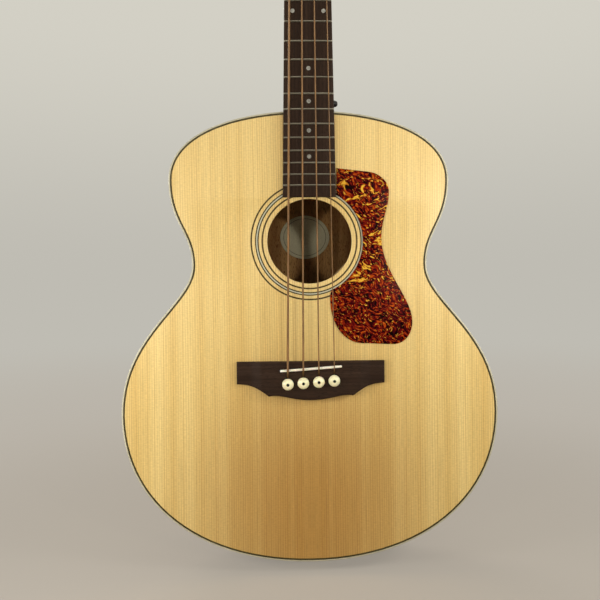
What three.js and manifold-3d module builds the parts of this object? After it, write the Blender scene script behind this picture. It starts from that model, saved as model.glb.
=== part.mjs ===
// Acoustic bass guitar, in millimetres.
// +Z runs up the neck, the soundboard faces -Y and +X is the treble side.
// The origin is the middle of the end pin's flat outer face, half way through the body's depth.
import * as THREE from 'three';
import { mergeVertices } from 'three/addons/utils/BufferGeometryUtils.js';
import Module from 'manifold-3d';

const wasm = await Module();
wasm.setup();

// Clearances that every piece shares
const glueGap = 0.3;            // between two pieces that are glued or screwed together
const slipGap = 0.4;            // round a piece that turns or slides
const overrun = 5;              // how far a cutter passes the piece that it cuts
const weldTolerance = 0.00001;

// Body
const bodyLength = 523;
const upperBoutWidth = 321.4;
const waistWidth = 270.2;
const lowerBoutWidth = 437.2;
const tailDepth = 112;
const neckEndDepth = 96;
const backRadius = 2400;        // the back is a slice of a sphere
const soundboardThickness = 3;
const backThickness = 3;
const sideThickness = 2.5;
const bindingWidth = 1.8;
const bindingHeight = 6;
const purflingWidth = 2;
const purflingDepth = 1.5;
const upperBoutShare = 0.151;   // places along the body, from its top
const waistShare = 0.336;
const lowerBoutShare = 0.667;
const topHandleShare = 0.571;   // curve handles, each a share of the stretch that it runs along
const upperBoutHandleShares = [0.651, 0.507];
const waistHandleShares = [0.395, 0.254];
const lowerBoutHandleShares = [0.548, 0.591];
const tailHandleShare = 0.6;
const outlineSteps = [8, 5, 7, 10];
const domeShares = [1, 0.75, 0.5, 0.25];   // rings of the domed back, from its rim inward

// Inside the body
const liningWidth = 7;
const liningHeight = 15;
const neckBlockWidth = 84;
const neckBlockLength = 42;
const tailBlockWidth = 90;
const tailBlockLength = 22;
const tailWedgeWidth = 20;
const braceWidth = 8;
const braceHeight = 18;
const braceTipHeight = 6;
const braceTaper = 60;
const crossingPlaceShare = 0.2955;   // where the X braces cross, from the sound hole's edge to the bridge
const crossBraceAngle = 44;     // degrees from the centre line
const upperBraceFromTop = 54;
const upperBraceWidth = 12;
const toneBarPlaceShare = 0.62; // of the way from the tail block to the bridge plate
const toneBarLength = 190;
const toneBarAngle = 62;        // degrees from the centre line
const bridgePlateThickness = 3;
const bridgePlateMargin = 2;    // to the braces on both sides
const bridgePlateOverhang = 2;  // past the bridge, above and below it
const labelWidth = 65;
const labelHeight = 57;
const labelThickness = 0.4;
const labelGap = 0.6;           // from the back, whose flats lie a little inside its true curve
const labelOffCentre = 2;
const labelAboveHole = 11.5;    // between their middles
const labelSteps = 20;

// Sound hole, rosette and pickguard
const soundholeRadius = 48.6;
const inlayDepth = 1.2;
const innerRingRadius = 53.5;
const outerRingRadius = 66.2;
const thinRingWidth = 1.8;
const middleRingRadius = 58.6;
const middleRingWidth = 4.1;
const ringSteps = 32;
const guardThickness = 1;
const guardInnerRadius = 61.4;
const guardReach = 118.2;       // from the centre line to its widest point
const guardToBridge = 18.3;     // from its lowest point
const guardRise = 83.3;         // from the hole's centre to its top
const guardBoardGap = 0.8;
const guardArcStart = -64.5;    // degrees, where the inner edge joins the rosette's curve
const guardTopShares = [0.58, 0.052];
const guardUpperShares = [      // two handles and an end: across the reach, and down to the hole's centre
  [[0.68, 0.07], [0.776, 0.182], [0.776, 0.328]],
  [[0.776, 0.52], [0.699, 0.736], [0.699, 0.953]],
];
const guardLowerShares = [      // down from the hole's centre to the lowest point
  [[0.699, 0.293], [1, 0.552], [1, 0.778]],
  [[1, 0.911], [0.922, 1], [0.812, 1]],
  [[0.72, 0.998], [0.62, 0.988], [0.525, 0.988]],
];
const guardHeelShares = [       // down from the inner edge's start to the lowest point
  [0.321, 0.978], [0.196, 0.616], [0.196, 0.165], [0.196, 0.072], [0.207, 0.026],
];
const guardSteps = 6;

// Neck and fingerboard
const scaleLength = 781;
const bodyFret = 17;            // the neck meets the body at this fret
const fretCount = 23;
const fretWidth = 2.4;
const fretCrownShare = 0.5;     // of the fret's width
const fretHeight = 1.2;
const fretTang = 0.5;
const nutWidth = 41.3;
const boardEndWidth = 61;
const boardThickness = 6.2;
const boardRadius = 406;
const boardPastLastFret = 13.1;
const boardToHole = 1.6;        // from the fingerboard's end to the edge of the sound hole
const boardSteps = 4;
const nutThickness = 6;
const nutCrown = 0.6;           // how far the nut stands over the strings' undersides
const crownSteps = 8;
const neckDepthAtNut = 15;
const neckDepthAtHeel = 18;
const neckRoundnessShare = 0.85;
const neckSteps = 10;
const heelLength = 75;
const heelCapThickness = 2;
const heelDepthShares = [0, 0.16, 0.3, 0.5, 0.75, 1];
const heelWidthShares = [1, 0.96, 0.86, 0.68, 0.52, 0.43];
const heelLengthShares = [1, 0.88, 0.64, 0.5, 0.455, 0.44];
const heelSteps = 10;
const tenonWidth = 20;
const tenonLength = 15;
const tenonDepth = 70;
const rodRadius = 2.5;
const rodDepth = 7;             // its middle, behind the neck's front face
const rodFromHeel = 12;
const rodNutRadius = 5;
const rodNutLength = 10;
const rodNutFromPivot = 4;
const rodSteps = 10;
const rodNutSides = 6;

// Headstock
const headTilt = 12;            // degrees
const headLength = 190;
const headThickness = 15;
const headShoulderWidth = 72;
const headShoulderPlace = 24;
const headTopWidth = 88;
const headCrown = 6;
const headRootShares = [0.5, 0.33];   // handles of the curve from the neck to the shoulder
const headSteps = 5;
const veneerThickness = 2;
const pocketWidth = 13;
const pocketLength = 34;
const pocketDepth = 11;
const coverWidth = 26;
const coverTipWidth = 12;
const coverLength = 44;
const coverThickness = 2;
const coverStart = 4;

// Bridge, saddle and pins
const compensation = 2.4;       // from the scale's end to the middle of the saddle
const saddleSlant = 3.8;        // degrees
const saddleLength = 71.2;
const saddleThickness = 2.6;
const saddleSlotDepth = 6;
const saddleEndSteps = 4;
const bridgeWidth = 170.4;
const bridgeThickness = 9;
const bridgeWingThickness = 4.5;
const bridgeWingLength = 30;
const bridgeAboveSaddle = 8;
const bridgeWingHeight = 25.8;
const bridgeKneeHeight = 39.8;
const bridgeHeight = 44.3;
const bridgeKneeWidth = 97;
const bridgeWingShares = [0.82, 0.68, 0.4];    // two handles' places across, and the second's drop
const bridgeBellyShares = [0.78, 0.3, 0.5];    // the knee's handle across and its rise, the belly's handle
const bridgeSteps = 6;
const stringHeightAtSaddle = 12.2;   // undersides, over the soundboard's face
const stringHeightAtNut = 8.2;
const stringSpreadAtSaddle = 53.1;   // from the first string to the last
const stringSpreadAtNut = 32;
const pinFromSaddle = 15.8;
const pinRadius = 3.5;
const pinTipRadius = 2.7;
const pinShankLength = 21;
const pinHeadRadius = 6.6;
const pinHeadHeight = 5.4;
const pinRimHeight = 2;
const pinDomeShares = [[0.87, 0.5], [0.5, 0.88]];   // of the head's radius and of its dome's height
const pinSteps = 12;
const rampHeight = 5;           // where a string leaves its pin hole, over the soundboard's face
const ballRadius = 3;
const ballLength = 5;
const ballOffset = 1.7;         // away from the pin
const ballSteps = 8;

// Tuners: a worm on the key turns a wheel on the post
const postRadius = 6;
const postHeight = 18;          // over the headstock's veneer
const postEnd = 1.2;            // behind the wheel
const postSteps = 12;
const wellSteps = 8;
const lowPostPlace = 50;        // up the headstock from its root
const highPostPlace = 128;
const lowPostOffCentre = 24;
const highPostOffCentre = 24;
const ferruleRadius = 10;
const ferruleThickness = 2;
const ferruleWall = 1.6;
const ferruleSleeve = 8;
const wheelTeeth = 20;
const gearModule = 1;
const wheelThickness = 4;
const wheelBossRadius = 8;
const toothTipShare = 0.12;     // of one tooth's pitch, to each side of its middle
const toothRootShare = 0.2;
const toothDepthShares = [1, 1.25];   // of the module, outside and inside the pitch circle
const wormPitchRadius = 3;
const wormCoreRadius = 1.9;
const wormTipRadius = 3.9;
const wormThreadWidth = 1.3;
const wormTurns = 3;
const wormStepsPerTurn = 8;
const keyShaftRadius = 2.5;
const keyShaftSteps = 8;
const keyLeafRadius = 14;
const keyLeafThickness = 5;
const keyLeafFromHead = 21;     // its middle, beyond the headstock's shoulder
const keyLeafDipShare = 0.22;
const keyLeafSteps = 18;
const tunerPlateWidth = 25;
const tunerPlateThickness = 2;
const tunerPlateBelow = 24;     // from the post
const tunerPlateAbove = 15;
const earThickness = 2;
const earHalfHeight = 5;
const earOffCentre = 8;         // inner faces, from the post's middle

// Strings
const stringNames = ['e', 'a', 'd', 'g'];
const stringDiameters = [2.54, 2.03, 1.65, 1.14];
const stringSides = 6;
const windingTurns = 2.25;
const windingSteps = 20;        // in one turn
const windingGap = 0.45;        // between two turns
const windingFromVeneer = 4;    // the lowest turn's underside, over the veneer
const stringEndLength = 6;      // down the middle of the post

// Strap button on the heel and end pin in the tail
const endPinReach = 14;
const buttonReach = 12.5;
const buttonRimRadius = 7;
const buttonWaistRadius = 4;
const buttonRimThickness = 3;
const buttonTaperShare = 0.6;   // of the rim's thickness
const buttonSeatShare = 0.85;   // of the rim's radius
const buttonShankRadius = 2.2;
const buttonShankLength = 14;
const endPinShankRadius = 4;
const endPinShankLength = 20;
const heelButtonRadius = 4.8;
const heelButtonWaistRadius = 2.8;
const heelButtonRimThickness = 1.4;
const heelButtonDomeShare = 0.55;   // of its reach
const heelButtonDome = [[0.34, 1], [0.62, 0.85], [0.8, 0.55], [1, 0]];  // radius and rise over the rim
const heelButtonHeight = 15.6;  // above the body's top
const heelButtonDepth = 30;     // behind the soundboard's face
const buttonSteps = 12;

// Places that follow from the sizes above
const front = -tailDepth / 2;
const bodyBottom = endPinReach;
const bodyTop = bodyBottom + bodyLength;
const fretDistance = (fret) => scaleLength * (1 - 2 ** (-fret / 12));
const nutPlace = bodyTop + fretDistance(bodyFret);
const saddlePlace = nutPlace - scaleLength - compensation;
const boardEnd = nutPlace - fretDistance(fretCount) - boardPastLastFret;
const soundhole = { x: 0, z: boardEnd - boardToHole - soundholeRadius };
const bridgeTop = saddlePlace + bridgeAboveSaddle;
const bridgeBottom = bridgeTop - bridgeHeight;
const holeBottom = soundhole.z - soundholeRadius;
const crossing = { x: 0, z: holeBottom - (holeBottom - bridgeTop) * crossingPlaceShare };
const neckRoot = bodyTop + glueGap;
const headPivot = nutPlace + nutThickness;
const tilt = THREE.MathUtils.degToRad(headTilt);
const slant = THREE.MathUtils.degToRad(saddleSlant);
const soundboardBack = front + soundboardThickness;
const wormLead = Math.PI * gearModule;
const wheelRadius = wheelTeeth * gearModule / 2;
const wormOffset = wheelRadius + wormPitchRadius;
const plateBack = headThickness + glueGap + tunerPlateThickness;
const wheelMiddle = plateBack + slipGap + wormTipRadius;
const veneerFront = -glueGap - veneerThickness;
const ferruleFront = veneerFront - glueGap - ferruleThickness;

// The back's outer face over a point of the outline's plane
function backFace(x, z) {
  const fromTail = z - bodyBottom;
  const depth = tailDepth + (neckEndDepth - tailDepth) * fromTail / bodyLength;
  const crown = (fromTail * (bodyLength - fromTail) - x * x) / (2 * backRadius);
  return front + depth + crown;
}

const boardHalfWidth = (z) => {
  const share = (nutPlace - z) / (nutPlace - boardEnd);
  return (nutWidth + (boardEndWidth - nutWidth) * share) / 2;
};

const boardSurface = (x) => front - glueGap - boardThickness + x * x / (2 * boardRadius);

// A closed solid with its faces turned outward
function outward(positions, indices) {
  const geometry = new THREE.BufferGeometry();
  geometry.setAttribute('position', new THREE.Float32BufferAttribute(positions, 3));
  let volume = 0;
  const corner = (i) => new THREE.Vector3().fromArray(positions, 3 * i);
  for (let i = 0; i < indices.length; i += 3) {
    const [a, b, c] = indices.slice(i, i + 3).map(corner);
    volume += a.dot(b.cross(c));
  }
  geometry.setIndex(volume < 0 ? indices.slice().reverse() : indices);
  return geometry;
}

// Sections of equal point count joined in order: a ring when closed, otherwise with flat ends
function loft(sections, closed = false) {
  const count = sections[0].length;
  const positions = sections.flat().flatMap((p) => [p.x, p.y, p.z]);
  const indices = [];
  const spans = closed ? sections.length : sections.length - 1;
  for (let s = 0; s < spans; s += 1) {
    const here = s * count;
    const next = ((s + 1) % sections.length) * count;
    for (let i = 0; i < count; i += 1) {
      const j = (i + 1) % count;
      indices.push(here + i, here + j, next + j, here + i, next + j, next + i);
    }
  }
  if (!closed) {
    const last = (sections.length - 1) * count;
    for (let i = 1; i < count - 1; i += 1) {
      indices.push(0, i + 1, i, last, last + i, last + i + 1);
    }
  }
  return outward(positions, indices);
}

// One closed skin: shared vertices merged, flat triangles dropped, faces turned outward
function welded(geometry) {
  const bare = geometry.clone();
  bare.deleteAttribute('normal');
  bare.deleteAttribute('uv');
  const merged = mergeVertices(bare, weldTolerance);
  const corners = Array.from(merged.index.array);
  const indices = [];
  for (let i = 0; i < corners.length; i += 3) {
    const [a, b, c] = corners.slice(i, i + 3);
    if (a !== b && b !== c && c !== a) indices.push(a, b, c);
  }
  return outward(Array.from(merged.attributes.position.array), indices);
}

function toManifold(geometry) {
  const skin = welded(geometry);
  return new wasm.Manifold(new wasm.Mesh({
    numProp: 3,
    vertProperties: new Float32Array(skin.attributes.position.array),
    triVerts: new Uint32Array(skin.index.array),
  }));
}

function toGeometry(manifold) {
  const mesh = manifold.getMesh();
  const geometry = new THREE.BufferGeometry();
  geometry.setAttribute('position', new THREE.BufferAttribute(new Float32Array(mesh.vertProperties), 3));
  geometry.setIndex(new THREE.BufferAttribute(new Uint32Array(mesh.triVerts), 1));
  return geometry;
}

const carve = (body, ...cutters) => toGeometry(
  cutters.reduce((solid, cutter) => solid.subtract(toManifold(cutter)), toManifold(body)),
);
const join = (...bodies) => toGeometry(bodies.map(toManifold).reduce((sum, body) => sum.add(body)));
const common = (a, b) => toGeometry(toManifold(a).intersect(toManifold(b)));

// A flat plate from an outline drawn in x and z, between two depths
function plate(shape, yFront, yBack) {
  const geometry = new THREE.ExtrudeGeometry(shape, { depth: yBack - yFront, bevelEnabled: false });
  return geometry.rotateX(Math.PI / 2).translate(0, yBack, 0);
}

function box(x, y, z) {
  const geometry = new THREE.BoxGeometry(x[1] - x[0], y[1] - y[0], z[1] - z[0]);
  return geometry.translate((x[0] + x[1]) / 2, (y[0] + y[1]) / 2, (z[0] + z[1]) / 2);
}

// A profile of [radius, height] points turned about the Y axis
function turned(profile, steps) {
  return welded(new THREE.LatheGeometry(profile.map(([r, h]) => new THREE.Vector2(r, h)), steps));
}

const rod = (radius, from, to, steps) => turned([[0, from], [radius, from], [radius, to], [0, to]], steps);

const ring = (inner, outer, from, to, steps) => turned(
  [[inner, from], [outer, from], [outer, to], [inner, to], [inner, from]],
  steps,
);

// The body's outline from its top round the treble side and back up the bass side
function bodyOutline() {
  const place = (share) => bodyTop - bodyLength * share;
  const [upper, waist, lower] = [upperBoutShare, waistShare, lowerBoutShare].map(place);
  const [upperHalf, waistHalf, lowerHalf] = [upperBoutWidth, waistWidth, lowerBoutWidth].map((w) => w / 2);
  const corners = [[0, bodyTop], [upperHalf, upper], [waistHalf, waist], [lowerHalf, lower], [0, bodyBottom]];
  const drop = (i) => corners[i][1] - corners[i + 1][1];
  const [upperRise, upperFall] = upperBoutHandleShares;
  const [waistRise, waistFall] = waistHandleShares;
  const [lowerRise, lowerFall] = lowerBoutHandleShares;
  const handles = [
    [[topHandleShare * upperHalf, bodyTop], [upperHalf, upper + upperRise * drop(0)]],
    [[upperHalf, upper - upperFall * drop(1)], [waistHalf, waist + waistRise * drop(1)]],
    [[waistHalf, waist - waistFall * drop(2)], [lowerHalf, lower + lowerRise * drop(2)]],
    [[lowerHalf, lower - lowerFall * drop(3)], [tailHandleShare * lowerHalf, bodyBottom]],
  ];
  const vector = ([x, z]) => new THREE.Vector2(x, z);
  const half = handles.flatMap(([a, b], i) => {
    const curve = new THREE.CubicBezierCurve(...[corners[i], a, b, corners[i + 1]].map(vector));
    return curve.getPoints(outlineSteps[i]).slice(0, -1);
  });
  half.push(vector(corners[4]));
  const mirrored = half.slice(1, -1).reverse().map((p) => new THREE.Vector2(-p.x, p.y));
  return [...half, ...mirrored];
}

const outline = bodyOutline();

// The outline moved inward by one distance all the way round
function inset(distance) {
  return outline.map((point, i) => {
    const before = outline[(i + outline.length - 1) % outline.length];
    const after = outline[(i + 1) % outline.length];
    const first = point.clone().sub(before).normalize();
    const second = after.clone().sub(point).normalize();
    const along = first.clone().add(second).normalize();
    const inwardNormal = new THREE.Vector2(along.y, -along.x);
    return point.clone().addScaledVector(inwardNormal, distance / along.dot(second));
  });
}

// A band that follows the outline between two insets and two surfaces
function band(outerInset, innerInset, frontSurface, backSurface) {
  const outer = inset(outerInset);
  const inner = inset(innerInset);
  const at = (p, surface) => new THREE.Vector3(p.x, surface(p.x, p.y), p.y);
  return loft(outer.map((p, i) => [
    at(p, frontSurface), at(p, backSurface), at(inner[i], backSurface), at(inner[i], frontSurface),
  ]), true);
}

// A plate of the body's outline with its rings drawn in to the middle, so that it can be domed
function domedPlate(insetDistance, frontSurface, backSurface) {
  const rim = inset(insetDistance);
  const middle = new THREE.Vector2(0, (bodyTop + bodyBottom) / 2);
  const faces = [frontSurface, backSurface].map((surface) => {
    const rings = domeShares.map((share) => rim.map((p) => {
      const q = middle.clone().lerp(p, share);
      return [q.x, surface(q.x, q.y), q.y];
    }));
    return [...rings.flat(), [middle.x, surface(middle.x, middle.y), middle.y]];
  });
  const count = rim.length;
  const faceSize = faces[0].length;
  const indices = [];
  const quad = (a, b, c, d) => indices.push(a, b, c, a, c, d);
  for (let i = 0; i < count; i += 1) {
    const j = (i + 1) % count;
    quad(i, j, faceSize + j, faceSize + i);
    for (let s = 0; s < domeShares.length - 1; s += 1) {
      const [here, next] = [s * count, (s + 1) * count];
      quad(here + j, here + i, next + i, next + j);
      quad(faceSize + here + i, faceSize + here + j, faceSize + next + j, faceSize + next + i);
    }
    const lastRing = (domeShares.length - 1) * count;
    indices.push(lastRing + j, lastRing + i, faceSize - 1);
    indices.push(faceSize + lastRing + i, faceSize + lastRing + j, 2 * faceSize - 1);
  }
  return outward(faces.flat(2), indices);
}

const shifted = (surface, distance) => (x, z) => surface(x, z) + distance;
const flat = (y) => () => y;

// Strings: their names, sizes and places across the saddle, the nut and the headstock
const stringPlaces = stringNames.map((name, i) => {
  const share = i / (stringNames.length - 1) - 0.5;
  const side = share < 0 ? -1 : 1;
  const low = i === 0 || i === stringNames.length - 1;
  return {
    name,
    side,
    diameter: stringDiameters[i],
    radius: stringDiameters[i] / 2,
    saddleX: share * stringSpreadAtSaddle,
    nutX: share * stringSpreadAtNut,
    postX: side * (low ? lowPostOffCentre : highPostOffCentre),
    postV: low ? lowPostPlace : highPostPlace,
  };
});

const saddleZ = (x) => saddlePlace + x * Math.tan(slant);
const pinZ = (string) => saddleZ(string.saddleX) - pinFromSaddle;
const pinHoleOffset = (string) => pinRadius + slipGap + string.radius;
const crowned = (height, x) => front - height + x * x / (2 * boardRadius);

// The string's bends between its ball and the nut
function stringStart(string) {
  const { radius, saddleX, nutX } = string;
  const holeZ = pinZ(string) + pinHoleOffset(string);
  const plateFar = soundboardBack + glueGap + bridgePlateThickness + glueGap;
  return {
    ball: new THREE.Vector3(saddleX, plateFar + ballLength / 2, holeZ),
    ramp: new THREE.Vector3(saddleX, front - rampHeight, holeZ),
    saddle: new THREE.Vector3(
      saddleX,
      crowned(stringHeightAtSaddle + glueGap + radius, saddleX),
      saddleZ(saddleX) - saddleThickness / 2 - radius / 2,
    ),
    nut: new THREE.Vector3(nutX, crowned(stringHeightAtNut + glueGap + radius, nutX), nutPlace),
  };
}

// A cutter for the slot that a string runs in: open to the front, a little wider than the string
function stringChannel(from, to, radius) {
  const slope = Math.abs(to.y - from.y) / Math.abs(to.z - from.z);
  const below = (radius + slipGap) * Math.hypot(1, slope);
  const half = radius + slipGap;
  return loft([from, to].map(({ x, y, z }) => [
    new THREE.Vector3(x - half, y + below, z), new THREE.Vector3(x + half, y + below, z),
    new THREE.Vector3(x + half, y - below - overrun, z), new THREE.Vector3(x - half, y - below - overrun, z),
  ]));
}

// The hole for a pin with the notch for its string, through the bridge, soundboard and bridge plate
const pinProfile = (grow) => [
  [0, pinShankLength + grow], [pinTipRadius + grow, pinShankLength + grow],
  [pinRadius + grow, -glueGap], [pinRadius + grow, -overrun], [0, -overrun],
];
function pinHoles() {
  return stringPlaces.map((string) => {
    const half = string.radius + slipGap;
    const reach = pinHoleOffset(string) + half;
    const bridgeFace = front - glueGap - bridgeThickness;
    const hole = turned(pinProfile(slipGap), pinSteps).translate(string.saddleX, bridgeFace, pinZ(string));
    const notch = box(
      [string.saddleX - half, string.saddleX + half],
      [front - rampHeight - half, bridgeFace + pinShankLength],
      [pinZ(string), pinZ(string) + reach],
    );
    return join(hole, notch);
  });
}

// Soundboard, with its rebate for the purfling and its channels for the rosette
const rosetteRings = {
  rosette_inner: [innerRingRadius, thinRingWidth],
  rosette_middle: [middleRingRadius, middleRingWidth],
  rosette_outer: [outerRingRadius, thinRingWidth],
};
const boardInset = bindingWidth + glueGap;

function soundboard() {
  const lower = plate(new THREE.Shape(inset(boardInset)), front + purflingDepth + glueGap, soundboardBack);
  const upperShape = new THREE.Shape(inset(boardInset + purflingWidth + glueGap));
  const upper = plate(upperShape, front, front + purflingDepth + 2 * glueGap);
  const channels = Object.values(rosetteRings).map(([radius, width]) => ring(
    radius - glueGap, radius + width + glueGap, front - overrun, front + inlayDepth + glueGap, ringSteps,
  ));
  const hole = rod(soundholeRadius, front - overrun, soundboardBack + overrun, ringSteps);
  const placed = [...channels, hole].map((cutter) => cutter.translate(0, 0, soundhole.z));
  return carve(join(lower, upper), ...placed, ...pinHoles());
}

function rosetteRing([radius, width]) {
  return ring(radius, radius + width, front, front + inlayDepth, ringSteps).translate(0, 0, soundhole.z);
}

// Pickguard: its inner edge follows the rosette, its top edge the fingerboard
function pickguard() {
  const edge = boardHalfWidth(boardEnd) + guardBoardGap;
  const [top, bottom] = [soundhole.z + guardRise, bridgeTop + guardToBridge];
  const startAngle = THREE.MathUtils.degToRad(guardArcStart);
  const arcStart = [
    guardInnerRadius * Math.cos(startAngle), soundhole.z + guardInnerRadius * Math.sin(startAngle),
  ];
  const between = (high, low) => ([across, down]) => [across * guardReach, high - down * (high - low)];
  const shape = new THREE.Shape();
  shape.moveTo(edge, top);
  shape.lineTo(...between(top, soundhole.z)(guardTopShares));
  guardUpperShares.forEach((curve) => shape.bezierCurveTo(...curve.flatMap(between(top, soundhole.z))));
  guardLowerShares.forEach((curve) => shape.bezierCurveTo(...curve.flatMap(between(soundhole.z, bottom))));
  const heel = guardHeelShares.map(between(arcStart[1], bottom));
  shape.bezierCurveTo(...heel.slice(0, 3).flat());
  shape.bezierCurveTo(...heel.slice(3).flat(), ...arcStart);
  shape.absarc(0, soundhole.z, guardInnerRadius, startAngle, Math.acos(edge / guardInnerRadius), false);
  const points = shape.getPoints(guardSteps);
  const back = front - glueGap;
  return plate(new THREE.Shape(points), back - guardThickness, back);
}

// The paper label follows the back's inner face
function label() {
  const middle = new THREE.Vector2(-labelOffCentre, soundhole.z + labelAboveHole);
  const face = (offset) => (p) => new THREE.Vector3(p.x, backFace(p.x, p.y) - backThickness - offset, p.y);
  const rim = Array.from({ length: labelSteps }, (_, i) => {
    const angle = 2 * Math.PI * i / labelSteps;
    return new THREE.Vector2(
      middle.x + labelWidth / 2 * Math.cos(angle), middle.y + labelHeight / 2 * Math.sin(angle),
    );
  });
  return loft([rim.map(face(labelGap)), rim.map(face(labelGap + labelThickness))]);
}

// What fits inside the sides, and inside the linings as well
const braceFoot = flat(soundboardBack + glueGap);
const blockSpace = domedPlate(
  sideThickness + glueGap, braceFoot, shifted(backFace, -backThickness - glueGap),
);
const braceSpace = domedPlate(
  sideThickness + liningWidth + 2 * glueGap, braceFoot, shifted(backFace, -backThickness),
);

const throughBody = [front - overrun, -front + overrun + bodyLength ** 2 / (8 * backRadius)];
const tenonSpace = (grow) => box(
  [-tenonWidth / 2 - grow, tenonWidth / 2 + grow],
  [front + bindingHeight + glueGap - grow, front + tenonDepth + grow],
  [bodyTop - tenonLength - grow, neckRoot + overrun],
);
const neckBlockBox = (grow) => box(
  [-neckBlockWidth / 2 - grow, neckBlockWidth / 2 + grow],
  throughBody,
  [bodyTop - neckBlockLength - grow, bodyTop + overrun],
);
const tailBlockBox = (grow) => box(
  [-tailBlockWidth / 2 - grow, tailBlockWidth / 2 + grow],
  throughBody,
  [bodyBottom - overrun, bodyBottom + tailBlockLength + grow],
);
const tailWedgeBox = (grow) => box(
  [-tailWedgeWidth / 2 - grow, tailWedgeWidth / 2 + grow],
  throughBody,
  [bodyBottom - overrun, bodyBottom + sideThickness + overrun],
);
const halfBody = (side) => box(
  side < 0 ? [-lowerBoutWidth, -glueGap / 2] : [glueGap / 2, lowerBoutWidth],
  throughBody,
  [bodyBottom - overrun, bodyTop + overrun],
);
const alongZ = (geometry) => geometry.rotateX(Math.PI / 2);
const endPinHole = () => alongZ(rod(
  endPinShankRadius + slipGap, -overrun, bodyBottom + tailBlockLength + overrun, buttonSteps,
));

const sideBand = band(
  0, sideThickness, flat(front + bindingHeight + glueGap), shifted(backFace, -bindingHeight - glueGap),
);

function side(sign) {
  return carve(common(sideBand, halfBody(sign)), tenonSpace(glueGap), tailWedgeBox(glueGap));
}

const liningInsets = [sideThickness + glueGap, sideThickness + glueGap + liningWidth];
const frontLining = band(
  ...liningInsets, flat(soundboardBack + glueGap), flat(soundboardBack + glueGap + liningHeight),
);
const backLining = band(
  ...liningInsets,
  shifted(backFace, -backThickness - glueGap - liningHeight),
  shifted(backFace, -backThickness - glueGap),
);

function lining(whole, sign) {
  return carve(common(whole, halfBody(sign)), neckBlockBox(glueGap), tailBlockBox(glueGap));
}

// A bar on the soundboard's inner face, lower at its tips, turned from the centre line
function bar(length, width, angle, middle) {
  const outlinePoints = [
    [-length / 2, 0], [length / 2, 0], [length / 2, braceTipHeight],
    [length / 2 - braceTaper, braceHeight], [-length / 2 + braceTaper, braceHeight],
    [-length / 2, braceTipHeight],
  ];
  const across = (sign) => outlinePoints.map(([z, y]) => new THREE.Vector3(sign * width / 2, y, z));
  return loft([across(-1), across(1)])
    .rotateY(THREE.MathUtils.degToRad(angle))
    .translate(middle.x, soundboardBack + glueGap, middle.z);
}

function crossBrace(sign) {
  const whole = bar(bodyLength, braceWidth, sign * crossBraceAngle, crossing);
  const lapEdge = (braceHeight + sign * glueGap) / 2;
  const other = box(
    [-braceWidth / 2 - glueGap, braceWidth / 2 + glueGap],
    sign < 0 ? [lapEdge, braceHeight + overrun] : [-overrun, lapEdge],
    [-braceWidth * 2, braceWidth * 2],
  ).rotateY(THREE.MathUtils.degToRad(-sign * crossBraceAngle));
  const lap = other.translate(crossing.x, soundboardBack + glueGap, crossing.z);
  return carve(common(whole, braceSpace), lap);
}

function upperBrace() {
  const whole = bar(upperBoutWidth, upperBraceWidth, 90, { x: 0, z: bodyTop - upperBraceFromTop });
  return common(whole, braceSpace);
}

// The tone bar is trimmed to the room between the tail block and the bridge plate
function toneBar() {
  const [low, high] = [bodyBottom + tailBlockLength, bridgeBottom - bridgePlateOverhang];
  const middle = { x: 0, z: low + (high - low) * toneBarPlaceShare };
  const whole = bar(toneBarLength, braceWidth, toneBarAngle, middle);
  const room = box([-lowerBoutWidth, lowerBoutWidth], throughBody, [low + glueGap, high - glueGap]);
  return common(common(whole, braceSpace), room);
}

// The bridge plate fills the space between the legs of the X under the bridge
function bridgePlate() {
  const angle = THREE.MathUtils.degToRad(crossBraceAngle);
  const legHalf = braceWidth / 2 / Math.cos(angle);
  const legX = (z) => (crossing.z - z) * Math.tan(angle) - legHalf - bridgePlateMargin;
  const [high, low] = [bridgeTop + bridgePlateOverhang, bridgeBottom - bridgePlateOverhang];
  const shape = new THREE.Shape([[legX(high), high], [legX(low), low], [-legX(low), low], [-legX(high), high]]
    .map(([x, z]) => new THREE.Vector2(x, z)));
  const near = soundboardBack + glueGap;
  return carve(plate(shape, near, near + bridgePlateThickness), ...pinHoles());
}

// Bridge: belly below, thinner wings, a slanted slot for the saddle and ramps for the strings
function saddlePlan(grow) {
  const shape = new THREE.Shape();
  const half = saddleLength / 2 - saddleThickness / 2;
  const radius = saddleThickness / 2 + grow;
  shape.absarc(half, 0, radius, -Math.PI / 2, Math.PI / 2, false);
  shape.absarc(-half, 0, radius, Math.PI / 2, 1.5 * Math.PI, false);
  return new THREE.Shape(shape.getPoints(saddleEndSteps));
}

const saddleFoot = front - glueGap - bridgeThickness + saddleSlotDepth;
function placedSaddlePlan(grow, yFront, yBack) {
  return plate(saddlePlan(grow), yFront, yBack).rotateY(-slant).translate(0, 0, saddlePlace);
}

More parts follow.
